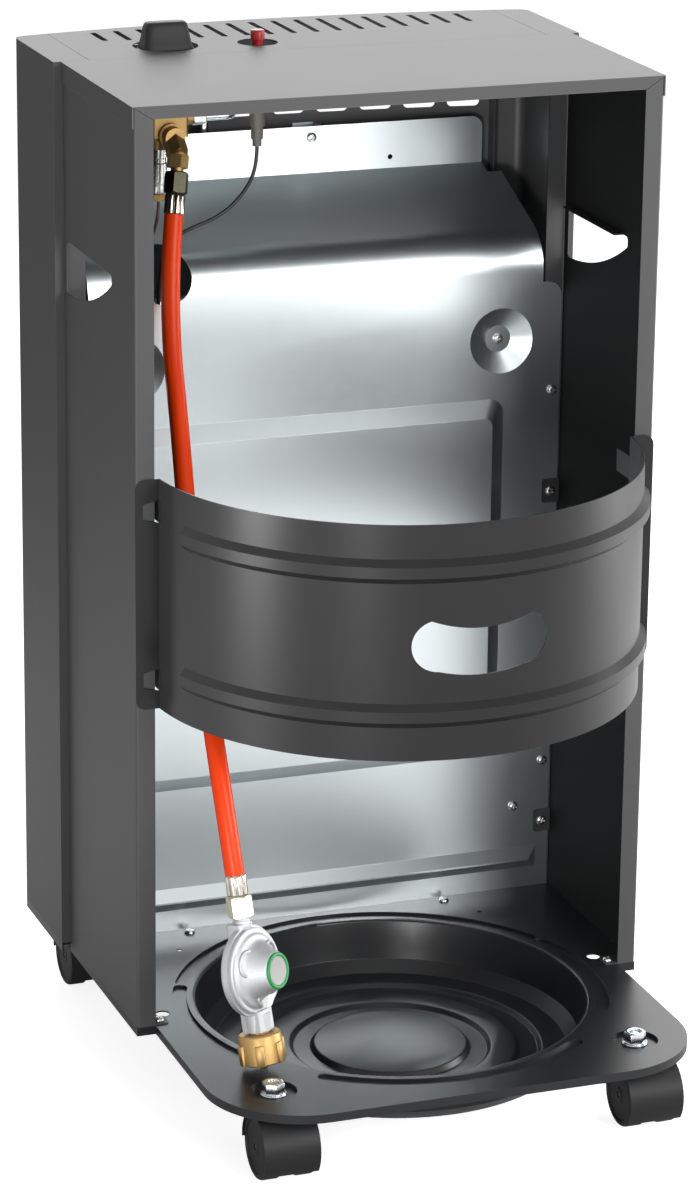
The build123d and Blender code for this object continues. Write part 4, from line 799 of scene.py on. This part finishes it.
def round_axis(name, body, copy, count, finish, matrix=None, edge=0.0, angle=SOFT_ANGLE):
    """Turned body with copies of a piece round its axis."""
    rib = shaped(f"{name}_copy", copy, edge=edge)
    obj = grown(name, body, "ring", finish, matrix, angle, Piece=rib, Count=count)
    dropped(rib)
    return obj


# ---------------------------------------------------------------- cords
def cord_curve(name, route, diameter, finish):
    """Round cord on one open NURBS spline through the route's control points."""
    curve = bpy.data.curves.new(name, "CURVE")
    curve.dimensions = "3D"
    curve.resolution_u = 14
    curve.bevel_depth = diameter / 2
    curve.bevel_resolution = 6
    curve.use_fill_caps = True
    spline = curve.splines.new("NURBS")
    spline.points.add(len(route) - 1)
    for point, place in zip(spline.points, route):
        point.co = (*at(*place), 1.0)
    spline.order_u = 3
    spline.use_endpoint_u = True
    return link(name, curve, finish)


def spline_length(obj):
    """Length of a cord's centre line."""
    bare = link("centre_line", obj.data.copy())
    bare.data.bevel_depth = 0
    points = [v.co.copy() for v in evaluated(bare).vertices]
    dropped(bare)
    return sum((b - a).length for a, b in zip(points, points[1:]))


class HEATER_OT_cords(bpy.types.Operator):
    """Gas hose and the two leads"""

    bl_idname = "heater.cords"
    bl_label = "Hose and leads"

    def execute(self, context):
        sizes = context.scene.heater_sizes
        settle(cord_curve("gas_hose", HOSE_ROUTE, sizes.hose_diameter, "hose_rubber"), "hose")
        for name, route, diameter, finish in (
            ("igniter_lead", IGNITER_ROUTE, sizes.igniter_lead_diameter, "black_lead"),
            ("sensor_lead", SENSOR_ROUTE, sizes.sensor_lead_diameter, "brown_lead"),
        ):
            lead = settle(cord_curve(f"{name}_sleeve", route, diameter, finish), name)
            spline_length(lead)
        return {"FINISHED"}


# ---------------------------------------------------------------- housing
def painted_shade_inside(obj, facing):
    """Gives faces that look into the cabinet, towards facing (1 or -1) along X, a darker inner coat: painted shade
    for the cabinet's inside.
    """
    obj.data.materials.append(FINISH["painted_shade_inner_coat"])
    inner = len(obj.data.materials) - 1
    for face in obj.data.polygons:
        if face.normal.x * facing > 0.6:
            face.material_index = inner


class HEATER_OT_housing(bpy.types.Operator):
    """Cabinet sheets: sides, tops, front shell and front panel"""

    bl_idname = "heater.housing"
    bl_label = "Housing"

    def execute(self, context):
        # the side panels' inner faces take the darker coat as painted shade
        painted_shade_inside(dressed("side_panel_left"), -1)
        painted_shade_inside(dressed("side_panel_right"), 1)
        for node in ("rear_top_panel", "front_shell_left", "front_shell_right", "front_top_panel", "front_panel"):
            dressed(node)
        return {"FINISHED"}


class HEATER_OT_base(bpy.types.Operator):
    """Pressed base pan and bottle belt"""

    bl_idname = "heater.base"
    bl_label = "Base pan and belt"

    def execute(self, context):
        dressed("base_pan", edge=0.5 * MM, segments=3, angle=28.0)
        belt = dressed("bottle_belt", edge=0.45 * MM, segments=3, finish="belt_coat")
        bpy.data.collections[BELT_LIGHT].objects.link(belt)
        return {"FINISHED"}


class HEATER_OT_shield(bpy.types.Operator):
    """Galvanised heat shield and its spacer"""

    bl_idname = "heater.shield"
    bl_label = "Heat shield"

    def execute(self, context):
        dressed("heat_shield", edge=0.36 * MM, angle=24.0)
        dressed("strip_bracket", edge=0.3 * MM)
        return {"FINISHED"}


# ---------------------------------------------------------------- screws and nuts
HEAD = 2.6  # height of a screw's head
STEM_CUT = 2.4  # how much lower than its solid a stem ends
STEM_R = 3.75  # core radius of the stems' threaded part


def screw_pattern():
    """Pan-head screw with a cross recess, its head's underside at height 0."""
    head = lathe([
        (0, -6.6), (1.4, -6.6), (1.9, -5.8), (1.9, 0), (4.2, 0), (4.25, 0.5), (4.0, 1.3), (3.3, 2.05), (2.2, 2.5),
        (0, HEAD)
    ], 32)
    blades = joined(
        prism([(-2.3, -0.42), (2.3, -0.42), (2.3, 0.42), (-2.3, 0.42)], 1.3, 3.5),
        prism([(-0.42, -2.3), (0.42, -2.3), (0.42, 2.3), (-0.42, 2.3)], 1.31, 3.51),
    )
    cutter = shaped("screw_recess", blades)
    obj = shaped("screw_pattern", head)
    cut = obj.modifiers.new("Recess", "BOOLEAN")
    cut.object = cutter
    cut.operation = "DIFFERENCE"
    cut.use_self = True
    baked(obj)
    dropped(cutter)
    return obj


def stem_pattern(top):
    """Threaded stem with its collar; height 0 is the washer's underside, and top is the stem's end."""
    shaft = lathe([
        (0, -15), (3.4, -15), (3.4, 0), (STEM_R, 0), (STEM_R, top - 1.0), (3.1, top - 0.2), (0, top)
    ], 32)
    obj = grown(
        "stem_pattern", shaft, "thread", "bright_zinc",
        Radius=STEM_R * MM, Pitch=1.25 * MM, Length=(top - 1.6) * MM, Depth=0.36 * MM, Start=0.3 * MM
    )
    collar = lathe([(0, -2.3), (7.4, -2.3), (7.5, -2.1), (7.5, -1.2), (0, -1.2)], 40)
    return rewritten(obj, opened(obj.data, to_mesh(collar, "stem_collar", SOFT_ANGLE)))


class HEATER_OT_fixings(bpy.types.Operator):
    """Screws of the shield and the pan, and the castors' nuts, washers and stems"""

    bl_idname = "heater.fixings"
    bl_label = "Screws and nuts"

    def execute(self, context):
        flat = (0, 0, 0)
        screw = screw_pattern()
        seats = [Vector(((a.x + b.x) / 2, b.y - HEAD * MM, (a.z + b.z) / 2)) for a, b in islands("shield_screws")]
        on_points("shield_screw_heads", "shield_screws", screw, seats, (-pi / 2, 0, 0), "zinc_steel", 4)
        seats = [Vector(((a.x + b.x) / 2, (a.y + b.y) / 2, b.z - HEAD * MM)) for a, b in islands("pan_screws")]
        on_points("pan_screw_heads", "pan_screws", screw, seats, flat, "zinc_steel", 9)

        feet = [Vector(((a.x + b.x) / 2, (a.y + b.y) / 2, a.z)) for a, b in islands("castor_washers")]
        washer = shaped("washer_pattern", lathe(
            [(4.3, 0), (9.6, 0), (9.9, 0.4), (9.9, 1.2), (9.6, 1.6), (4.3, 1.6)], 64, hollow=True
        ))
        flange = [(4.2, 1.6), (8.6, 1.6), (8.9, 1.9), (8.8, 2.3), (7.4, 3.0), (4.2, 3.0)]
        nut = joined(chamfered_nut(15.0, 1.6, 10.2, 4.0), lathe(flange, 64, hollow=True))
        nut = shaped("nut_pattern", nut, edge=0.12 * MM)
        stem_high = islands("castor_stems")[0][1]
        stem = stem_pattern((stem_high.z - feet[0].z) / MM - STEM_CUT)
        on_points("castor_washer_set", "castor_washers", washer, feet, flat, "bright_zinc", 2)
        on_points("castor_nut_set", "castor_nuts", nut, feet, flat, "bright_zinc", 5)
        on_points("castor_stem_set", "castor_stems", stem, feet, flat, "bright_zinc", 7)
        dropped(screw, washer, nut, stem)
        return {"FINISHED"}


# ---------------------------------------------------------------- castors
WHEEL = (
    (2.6, 5.5), (21.5, 5.5), (22.5, 6.0), (23.2, 7.0), (24.2, 7.0), (25.0, 7.9), (25.0, 18.6), (24.7, 19.7),
    (24.0, 20.6), (23.0, 21.2), (22.0, 21.5), (21.2, 21.5), (20.6, 21.2), (20.3, 20.3), (6.0, 20.3), (5.6, 20.6),
    (5.2, 20.8), (2.6, 20.8)
)


class HEATER_OT_castors(bpy.types.Operator):
    """Hooded twin-wheel castors"""

    bl_idname = "heater.castors"
    bl_label = "Castors"

    def execute(self, context):
        for name in ("rear_left", "rear_right", "front_left", "front_right"):
            dressed(f"castor_hood_{name}", edge=0.7 * MM, segments=3, angle=28.0)
            low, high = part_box(f"castor_axle_{name}")
            centre = (Vector(low) + Vector(high)) / 2
            wheels = []
            for side in (1, -1):
                wheel = lathe(WHEEL, 96, hollow=True)
                bmesh.ops.transform(wheel, matrix=axes(centre, (side, 0, 0), (0, 0, 1)), verts=wheel.verts)
                wheels.append(wheel)
            pair = shaped(f"wheel_pair_{name}", joined(*wheels), "black_plastic", angle=26.0)
            settle(pair, f"castor_wheels_{name}")
            reach = (high[0] - low[0]) / 2 / MM
            pin = lathe([
                (0, -reach), (2.0, -reach), (2.5, 0.4 - reach), (2.5, reach - 0.4), (2.0, reach), (0, reach)
            ], 28)
            settle(shaped(f"axle_pin_{name}", pin, "dark_steel", axes(centre, (1, 0, 0))), f"castor_axle_{name}")
        return {"FINISHED"}


# ---------------------------------------------------------------- controls
def knob_section(half_x, half_y, power, z, steps=72):
    """Plan points of one level of the knob's grip: a rounded bar."""
    ring = []
    for i in range(steps):
        a = 2 * pi * (i + 0.5) / steps
        c, s = cos(a), sin(a)
        x = half_x * (abs(c) ** (2 / power)) * (1 if c >= 0 else -1)
        y = half_y * (abs(s) ** (2 / power)) * (1 if s >= 0 else -1)
        ring.append(Vector((x, y, z)) * MM)
    return ring


class HEATER_OT_controls(bpy.types.Operator):
    """Gas knob with its stem, and the igniter's button, barrel and nut"""

    bl_idname = "heater.controls"
    bl_label = "Knob and igniter"

    def execute(self, context):
        foot, rise = foot_of("control_knob")
        grip = skinned([knob_section(*level) for level in (
            (20.5, 12.5, 7.0, 1.9), (20.3, 12.3, 7.0, 3.0), (19.0, 10.4, 6.5, 0.33 * rise),
            (17.9, 8.6, 6.0, 0.6 * rise), (17.1, 7.4, 5.5, 0.82 * rise), (16.5, 6.7, 5.0, 0.93 * rise),
            (15.4, 5.7, 4.5, 0.985 * rise), (13.8, 4.2, 4.0, rise)
        )], caps=True)
        skirt = lathe([
            (3.1, 0), (21.9, 0), (22.5, 0.5), (22.5, 1.7), (22.1, 2.3), (21.4, 2.5), (3.1, 2.5)
        ], 96, hollow=True)
        whole = joined(skirt, grip)
        knob = shaped("gas_knob", whole, "black_plastic", Matrix.Translation(foot), angle=40.0)
        settle(knob, "control_knob")
        dressed("knob_stem", edge=0.2 * MM)
        dressed("valve_plunger", edge=0.2 * MM)

        foot, length = foot_of("igniter_button")
        top = Matrix.Translation((foot.x, foot.y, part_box("igniter_button")[1][2]))
        button = lathe([
            (0, -length), (3.6, -length), (4.0, -length + 0.4), (4.0, -8.0), (5.2, -8.0), (5.5, -7.7), (5.5, -1.5),
            (5.3, -0.8), (4.8, -0.3), (4.1, 0), (3.2, -0.12), (0, -0.45)
        ])
        settle(shaped("igniter_push_button", button, "red_plastic", top), "igniter_button")
        for node in ("igniter_body", "igniter_nut"):
            dressed(node, edge=0.35 * MM, segments=3)
        return {"FINISHED"}


# ---------------------------------------------------------------- gas train
FERRULE_L = 16.0
UNION_L = 17.5  # length of the hose's union nuts
UNION_AF = 17.0  # and their size across flats


def ferrule(name, node, foot, axis):
    """Crimped ferrule: rounded flutes round a plain core."""
    core = lathe([(0, 0.3), (6.9, 0.3), (7.3, 0.7), (7.3, FERRULE_L - 0.7), (6.9, FERRULE_L), (0, FERRULE_L)], 40)
    turns = [2 * pi * i / 14 for i in range(14)]
    flute = skinned([
        [Vector((5.5 + r * cos(a) + shift, r * sin(a), z)) * MM for a in turns]
        for r, shift, z in (
            (1.4, 0.2, 0.2), (2.4, 0.3, 0.7), (2.55, 0.32, 1.6), (2.45, 0.2, 8.0), (2.55, 0.32, 14.2),
            (2.4, 0.2, 15.3), (1.4, 0.0, 15.9)
        )
    ], caps=True)
    return settle(round_axis(name, core, flute, 8, "nickel", axes(foot, axis), angle=50.0), node)


def union_nut(name, node, flats, foot, axis, length, finish, face=None):
    """Chamfered union nut along an axis, with a plain collar at both ends."""
    near, far = flats * 0.44, flats * 0.47
    collar = lathe([(0, 0), (near, 0), (far, 0.5), (far, length - 0.5), (near, length), (0, length)])
    body = joined(chamfered_nut(flats, 0.5, length - 0.5), collar)
    return settle(shaped(name, body, finish, axes(foot, axis, face), 0.12 * MM, 2, 24.0), node)


class HEATER_OT_gas_inlet(bpy.types.Operator):
    """Valve, elbow, nuts and burner pipe under the top"""

    bl_idname = "heater.gas_inlet"
    bl_label = "Valve and pipe"

    def execute(self, context):
        end, below = at(*HOSE_ROUTE[0]), at(*HOSE_ROUTE[1])
        up = (end - below).normalized()
        ferrule("hose_ferrule_top", "top_ferrule", end, up)
        foot = end + up * FERRULE_L * MM
        union_nut("hose_nut_top", "top_nut", UNION_AF, foot, up, UNION_L, "olive_zinc", (0, 1, 0))
        dressed("gas_valve", edge=0.7 * MM, segments=3, angle=28.0)
        dressed("inlet_elbow", edge=0.45 * MM, segments=3, angle=26.0)
        low, high = (Vector(corner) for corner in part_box("pipe_nut"))
        centre = (low + high) / 2
        right = Vector((high.x, centre.y, centre.z))
        union_nut("pipe_union_nut", "pipe_nut", 12.0, right, (-1, 0, 0), (high.x - low.x) / MM, "zinc_steel")
        foot, tall = foot_of("sensor_nut")
        union_nut("sensor_union_nut", "sensor_nut", 9.0, foot, (0, 0, 1), tall, "brass")
        foot, tall = foot_of("magnet_unit")
        can = lathe([
            (0, 0), (5.4, 0), (6.2, 0.5), (6.4, 1.4), (6.4, 7.6), (7.0, 8.4), (7.0, tall - 12), (6.3, tall - 11.2),
            (6.3, tall - 8), (7.0, tall - 7.2), (7.0, tall), (0, tall)
        ])
        settle(shaped("sensor_magnet", can, "zinc_steel", Matrix.Translation(foot)), "magnet_unit")
        dressed("burner_pipe", edge=0.0)
        dressed("valve_bracket", edge=0.4 * MM)
        return {"FINISHED"}


REG_FACE = Vector((-0.61, 0.77, 0.22))  # where the regulator's cap looks
REG_SPAN = 151.6  # from the bottle nut's foot to the hose's end
REG_CENTRE = 77.0  # height of the bonnet's axis above that foot
NUT_LOW = REG_SPAN - FERRULE_L - UNION_L  # underside of the union nut above that foot


def bonnet_arch():
    """Raised curved rib of the bonnet, as a tube on a half-round line."""
    rings = []
    for k in range(25):
        t = radians(-105 + 210 * k / 24)
        middle = Vector((19.0 + 7.2 * cos(t), 9.6 * sin(t), 9.3 + 3.6 * max(0.0, 1 - cos(t)) * 0.5))
        out = Vector((cos(t), 1.25 * sin(t), 0)).normalized()
        size = 1.35 if 1 < k < 23 else (1.0 if k in (1, 23) else 0.45)
        rings.append([
            (middle + out * (size * cos(2 * pi * i / 10)) + Vector((0, 0, size * sin(2 * pi * i / 10)))) * MM
            for i in range(10)
        ])
    return skinned(rings, caps=True)


def regulator_necks():
    """Threaded inlet and square outlet neck, which are part of the regulator's body."""
    neck = prism([
        (x * 8.9 + cos(a) * 1.3, y * 8.9 + sin(a) * 1.3)
        for x, y, q in ((0.86, 0.86, 0), (-0.86, 0.86, 1), (-0.86, -0.86, 2), (0.86, -0.86, 3))
        for a in [pi / 2 * (q + k / 4) for k in range(5)]
    ], 30.6, 47.0)
    thread = grown(
        "inlet_thread", lathe([(0, 108), (5.7, 108), (5.7, NUT_LOW), (0, NUT_LOW)], 32), "thread", "cast_metal",
        Radius=5.8 * MM, Pitch=1.8 * MM, Length=(NUT_LOW - 109.5) * MM, Depth=0.75 * MM, Start=109 * MM
    )
    block = shaped("outlet_neck", neck, edge=0.6 * MM, segments=3)
    mesh = closed(opened(thread.data, block.data), "regulator_necks")
    dropped(thread, block)
    return mesh


def regulator_bonnet():
    """Domed cover with three arches, and the lip that joins it to the outlet."""
    dome = lathe([
        (0, 3.0), (32.3, 3.0), (32.5, 3.4), (32.5, 5.6), (31.9, 6.3), (30.6, 6.6), (29.4, 6.3), (28.8, 6.5),
        (27.8, 8.1), (26.2, 8.9), (24.6, 9.3), (22.6, 10.4), (20.9, 12.6), (17.4, 18.6), (14.9, 23.6),
        (14.3, 24.6), (13.6, 25.0), (0, 25.0)
    ], 96)
    bonnet = round_axis("regulator_cover", dome, bonnet_arch(), 3, "cast_metal", angle=40.0)
    spout = [(14.0, -5.2), (27.4, -3.6), (28.6, -2.0), (28.6, 2.0), (27.4, 3.6), (14.0, 5.2)]
    lip = shaped("cover_lip", prism(spout, 8.0, 17.0), edge=1.4 * MM, segments=3)
    for vert in lip.data.vertices:
        if vert.co.z > 11 * MM:
            vert.co.z += (20 * MM - vert.co.x) * 0.42  # the top slopes with the dome
    rewritten(bonnet, opened(bonnet.data, lip.data))
    dropped(lip)
    return bonnet


class HEATER_OT_regulator(bpy.types.Operator):
    """Pressure regulator with its nuts, on the hose's end"""

    bl_idname = "heater.regulator"
    bl_label = "Regulator"

    def execute(self, context):
        end = at(*HOSE_ROUTE[-1])
        up = (at(*HOSE_ROUTE[-2]) - end).normalized()
        foot = end - up * REG_SPAN * MM
        stand = axes(foot, up, REG_FACE)
        ferrule("hose_ferrule_bottom", "bottom_ferrule", end - up * FERRULE_L * MM, up)
        union_nut(
            "hose_nut_bottom", "bottom_nut", UNION_AF, foot + up * NUT_LOW * MM, up, UNION_L, "yellow_zinc", REG_FACE
        )
        necks = regulator_necks()
        necks.transform(stand)
        dressed("regulator_body", edge=0.9 * MM, segments=3, angle=24.0, extra=necks)

        face = stand @ Matrix.Translation((0, 0, REG_CENTRE * MM)) @ Matrix.Rotation(pi / 2, 4, "Y")
        bonnet = regulator_bonnet()
        bonnet.data.transform(face)
        settle(bonnet, "regulator_bonnet")
        ring = lathe([
            (11.0, 24.6), (14.0, 25.0), (14.0, 25.7), (13.6, 26.6), (13.0, 27.0), (12.0, 27.0), (11.3, 26.7),
            (11.0, 26.2)
        ], 72, hollow=True)
        settle(shaped("regulator_trim_ring", ring, "green_plastic", face, angle=40.0), "regulator_ring")
        disc = lathe([(0, 24.8), (11.0, 24.8), (11.0, 26.0), (10.6, 26.2), (9.6, 26.05), (0, 26.05)], 64)
        settle(shaped("regulator_plain_disc", disc, "pale_plastic", face), "regulator_cap")

        body = lathe([
            (8.1, 17.3), (10.9, 17.3), (10.9, 6.4), (11.4, 6.0), (15.6, 6.0), (16.5, 6.9), (16.5, 27.6), (16.0, 28.5),
            (15.2, 29.0), (9.2, 29.0), (8.1, 28.4)
        ], 72, hollow=True)
        lug = prism([(15.4, -3.7), (18.4, -3.2), (18.4, 3.2), (15.4, 3.7)], 6.2, 22.1)
        settle(round_axis("bottle_wing_nut", body, lug, 6, "brass", stand, 0.9 * MM), "bottle_nut")
        tip = lathe([
            (0, 0.6), (1.9, 0.6), (2.6, 1.1), (4.4, 3.0), (4.5, 3.4), (4.5, 12.0), (6.5, 14.0), (10.2, 14.0),
            (10.4, 14.3), (10.4, 16.8), (10.1, 17.0), (8.0, 17.0), (8.0, 30.5), (0, 30.5)
        ])
        settle(shaped("outlet_nipple", tip, "brass", stand), "outlet_spigot")
        hose = bpy.data.objects["gas_hose"]
        spline_length(hose)
        return {"FINISHED"}


# ---------------------------------------------------------------- burner
BOW_RADIUS = 1176.4  # of the front's bow
BOW_CENTRE = 864.4  # of that bow, along Y from the rear plane
BAR_BOW = BOW_RADIUS - 18.3  # line of the guard's cross bars
WIRE_BOW = BOW_RADIUS - 15.5  # line of its upright wires
GUARD_HALF = 138.0  # half the length of the guard's bars


def bow_y(x, radius):
    """Where a bowed line of this radius lies at x, in millimetres."""
    return BOW_CENTRE - sqrt(radius**2 - x**2)


class HEATER_OT_burner(bpy.types.Operator):
    """Wire guard behind the burner window, burner, pilot and their arms"""

    bl_idname = "heater.burner"
    bl_label = "Burner and guard"

    def execute(self, context):
        low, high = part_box("burner_guard")
        seat = bow_y(GUARD_HALF, BOW_RADIUS - 1) + 0.5  # where the bars' ends are welded to the front panel
        across = [-GUARD_HALF + 2 * GUARD_HALF * i / 24 for i in range(25)]
        line = [(-GUARD_HALF, seat), *((x, bow_y(x, BAR_BOW)) for x in across), (GUARD_HALF, seat)]
        path = bmesh.new()
        verts = [path.verts.new((x * MM, y * MM + REAR, 0)) for x, y in line]
        for pair in zip(verts, verts[1:]):
            path.edges.new(pair)
        guard = grown(
            "welded_guard", path, "guard", slot_of("burner_guard"), None, 40.0, Wires=13, Half_width=120 * MM,
            Bow_radius=WIRE_BOW * MM, Bow_centre=BOW_CENTRE * MM + REAR, Foot=low[2], Height=high[2] - low[2],
            Bars=3
        )
        settle(guard, "burner_guard")
        for node in ("burner", "burner_arms", "pilot_bracket", "spark_electrode", "thermocouple"):
            dressed(node, edge=0.25 * MM)
        return {"FINISHED"}


class HEATER_OT_remaining(bpy.types.Operator):
    """Anything that keeps its construction shape"""

    bl_idname = "heater.remaining"
    bl_label = "Remaining fittings"

    def execute(self, context):
        for node, obj in frame["nodes"].items():
            if not obj.hide_render:
                dressed(node)
        return {"FINISHED"}


# ---------------------------------------------------------------- stage
PAPER = (0.86, 0.86, 0.86)
SHADED_PAPER = (0.16, 0.16, 0.16)  # painted shade: the floor far before the heater's front, darker where reflections see it
PAPER_GLOW = 0.82  # emission that rays from the camera find
WORLD_LIGHT = 0.22  # strength for all other rays
BELT_LIGHT = "belt_light"  # collection that holds what the belt's softbox lights
MIDDLE = (0, 0, 0.42)  # of the heater
CAMERA_LENS = 128.31
CAMERA_PLACE = (1110.06, 2904.82, 1331.34)  # in the cabinet's own sizes, as at() reads them
CAMERA_TURN = (159.82, 17.92, 0.67)  # azimuth, elevation and roll in degrees
SOFTBOXES = (  # name, place, aim, width, height, power
    ("Back softbox", (-0.85, -2.5, 1.75), (0, -0.1, 0.78), 2.4, 1.5, 33),
    ("Right softbox", (-2.3, 0.1, 0.75), MIDDLE, 0.9, 1.4, 44),
    ("Key softbox", (-1.1, 3.0, 1.5), (0, 0, 0.5), 1.4, 1.5, 66),
    ("Left softbox", (1.7, 2.7, 0.4), MIDDLE, 0.5, 0.7, 40),
    ("Belt softbox", (2.3, 0.45, 0.45), (0, 0.3, 0.45), 0.7, 1.2, 120),
)


def any_of(tree, first, *others):
    """Sum of masks, 1 at most."""
    for other in others:
        first = math_node(tree, "ADD", first, other, clamp=True)
    return first


def stage_material():
    """Pale paper that camera and glass rays see as near white, with the object's shadow on it; mirror rays see it
    glow as well, but the glow fades near the heater and the floor far before its front is darker, both painted shade
    in reflections.
    """
    mat, tree, shader, place = material(
        "Studio paper", PAPER, Roughness=0.9, Specular_IOR_Level=0.1, Emission_Color=(1, 1, 1, 1)
    )
    split = add(tree, "ShaderNodeSeparateXYZ", {0: place})
    near = map_range(tree, split.outputs["Y"], -1.7, -0.25, 0.0, 1.0)
    # painted shade: the glow that reflections see fades near the heater
    clear = map_range(tree, vector_node(tree, "LENGTH", {0: place}), 0.3, 1.2, 0.05, 1.0)
    ray = tree.nodes.new("ShaderNodeLightPath").outputs
    # painted shade: reflections see the floor far before the heater's front darker
    shaded = math_node(tree, "MULTIPLY", ray["Is Glossy Ray"], math_node(tree, "SUBTRACT", 1.0, near))
    tree.links.new(mix_colour(tree, shaded, PAPER, SHADED_PAPER), shader["Base Color"])
    mirrored = math_node(tree, "MULTIPLY", ray["Is Glossy Ray"], math_node(tree, "MULTIPLY", near, clear))
    seen = any_of(tree, ray["Is Camera Ray"], mirrored, ray["Is Transmission Ray"])
    tree.links.new(math_node(tree, "MULTIPLY", seen, PAPER_GLOW), shader["Emission Strength"])
    return mat


def softbox(name, place, aim, width, height, power):
    """Area light at place, facing aim."""
    data = bpy.data.lights.new(name, "AREA")
    data.shape = "RECTANGLE"
    data.size, data.size_y, data.energy = width, height, power
    obj = link(name, data)
    obj.location = place
    obj.rotation_euler = (Vector(aim) - Vector(place)).to_track_quat("-Z", "Y").to_euler()
    obj.visible_camera = False
    return obj


def studio_world():
    """Even soft light, and plain white for what looks or mirrors past the floor."""
    world = bpy.data.worlds.new("Studio")
    world.use_nodes = True
    tree = world.node_tree
    base = tree.nodes["Background"].inputs
    base["Color"].default_value = (1, 1, 1, 1)
    ray = tree.nodes.new("ShaderNodeLightPath").outputs
    seen = any_of(tree, ray["Is Camera Ray"], ray["Is Transmission Ray"], ray["Is Glossy Ray"])
    tree.links.new(map_range(tree, seen, 0.0, 1.0, WORLD_LIGHT, 1.0), base["Strength"])
    return world


class HEATER_OT_stage(bpy.types.Operator):
    """Camera, soft studio light and a plain pale floor"""

    bl_idname = "heater.stage"
    bl_label = "Camera and studio"

    def execute(self, context):
        scene = context.scene
        turn, rise, roll = (radians(angle) for angle in CAMERA_TURN)
        back = Vector((sin(turn) * cos(rise), -cos(turn) * cos(rise), sin(rise)))
        right = Vector((0, 0, 1)).cross(back).normalized()
        up = back.cross(right)
        facing = Matrix((right * cos(roll) + up * sin(roll), up * cos(roll) - right * sin(roll), back))
        data = bpy.data.cameras.new("Camera")
        data.sensor_width = 36
        data.lens = CAMERA_LENS
        data.clip_end = 50
        camera = link("Camera", data)
        camera.matrix_world = Matrix.Translation(at(*CAMERA_PLACE)) @ facing.transposed().to_4x4()
        scene.camera = camera

        bm = bmesh.new()
        bmesh.ops.create_grid(bm, x_segments=1, y_segments=1, size=14)
        floor = link("floor", closed(bm, "floor"))
        floor.data.materials.append(stage_material())

        boxes = [softbox(*values) for values in SOFTBOXES]
        boxes[-1].light_linking.receiver_collection = bpy.data.collections.new(BELT_LIGHT)
        scene.world = studio_world()
        scene.view_settings.view_transform = "Standard"
        return {"FINISHED"}


# ---------------------------------------------------------------- panel and running
class HEATER_PT_sidebar(bpy.types.Panel):
    """Sizes, colours and pieces of the heater"""

    bl_idname = "HEATER_PT_sidebar"
    bl_label = "Gas cabinet heater"
    bl_space_type = "VIEW_3D"
    bl_region_type = "UI"
    bl_category = "Heater"

    def draw(self, context):
        layout = self.layout
        for settings in (context.scene.heater_sizes, context.scene.heater_colours):
            for name in settings.bl_rna.properties.keys():
                if name not in ("rna_type", "name"):
                    layout.prop(settings, name)
        for operator in PIECE_OPERATORS:
            layout.operator(operator.bl_idname)


PIECE_OPERATORS = (
    HEATER_OT_stage,
    HEATER_OT_cords,
    HEATER_OT_housing,
    HEATER_OT_base,
    HEATER_OT_shield,
    HEATER_OT_castors,
    HEATER_OT_fixings,
    HEATER_OT_controls,
    HEATER_OT_gas_inlet,
    HEATER_OT_regulator,
    HEATER_OT_burner,
    HEATER_OT_remaining,
)
CLASSES = (HeaterSizes, HeaterColours, *PIECE_OPERATORS, HEATER_PT_sidebar)


def register():
    """Registers every class and the two settings groups."""
    for cls in CLASSES:
        bpy.utils.register_class(cls)
    bpy.types.Scene.heater_sizes = PointerProperty(type=HeaterSizes)
    bpy.types.Scene.heater_colours = PointerProperty(type=HeaterColours)


def unregister():
    """Takes the settings and classes away again."""
    del bpy.types.Scene.heater_colours
    del bpy.types.Scene.heater_sizes
    for cls in reversed(CLASSES):
        bpy.utils.unregister_class(cls)


def main():
    """Registers the add-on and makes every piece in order."""
    register()
    GROUPS.update(grain=grain_group(), wear=wear_group(), spangle=spangle_group())
    FINISH.update(build_finishes(bpy.context.scene.heater_colours))
    TREES.update(points=points_tree(), ring=ring_tree(), thread=thread_tree(), guard=guard_tree())
    for operator in PIECE_OPERATORS:
        group, name = operator.bl_idname.split(".")
        getattr(getattr(bpy.ops, group), name)()


if __name__ == "__main__":
    main()
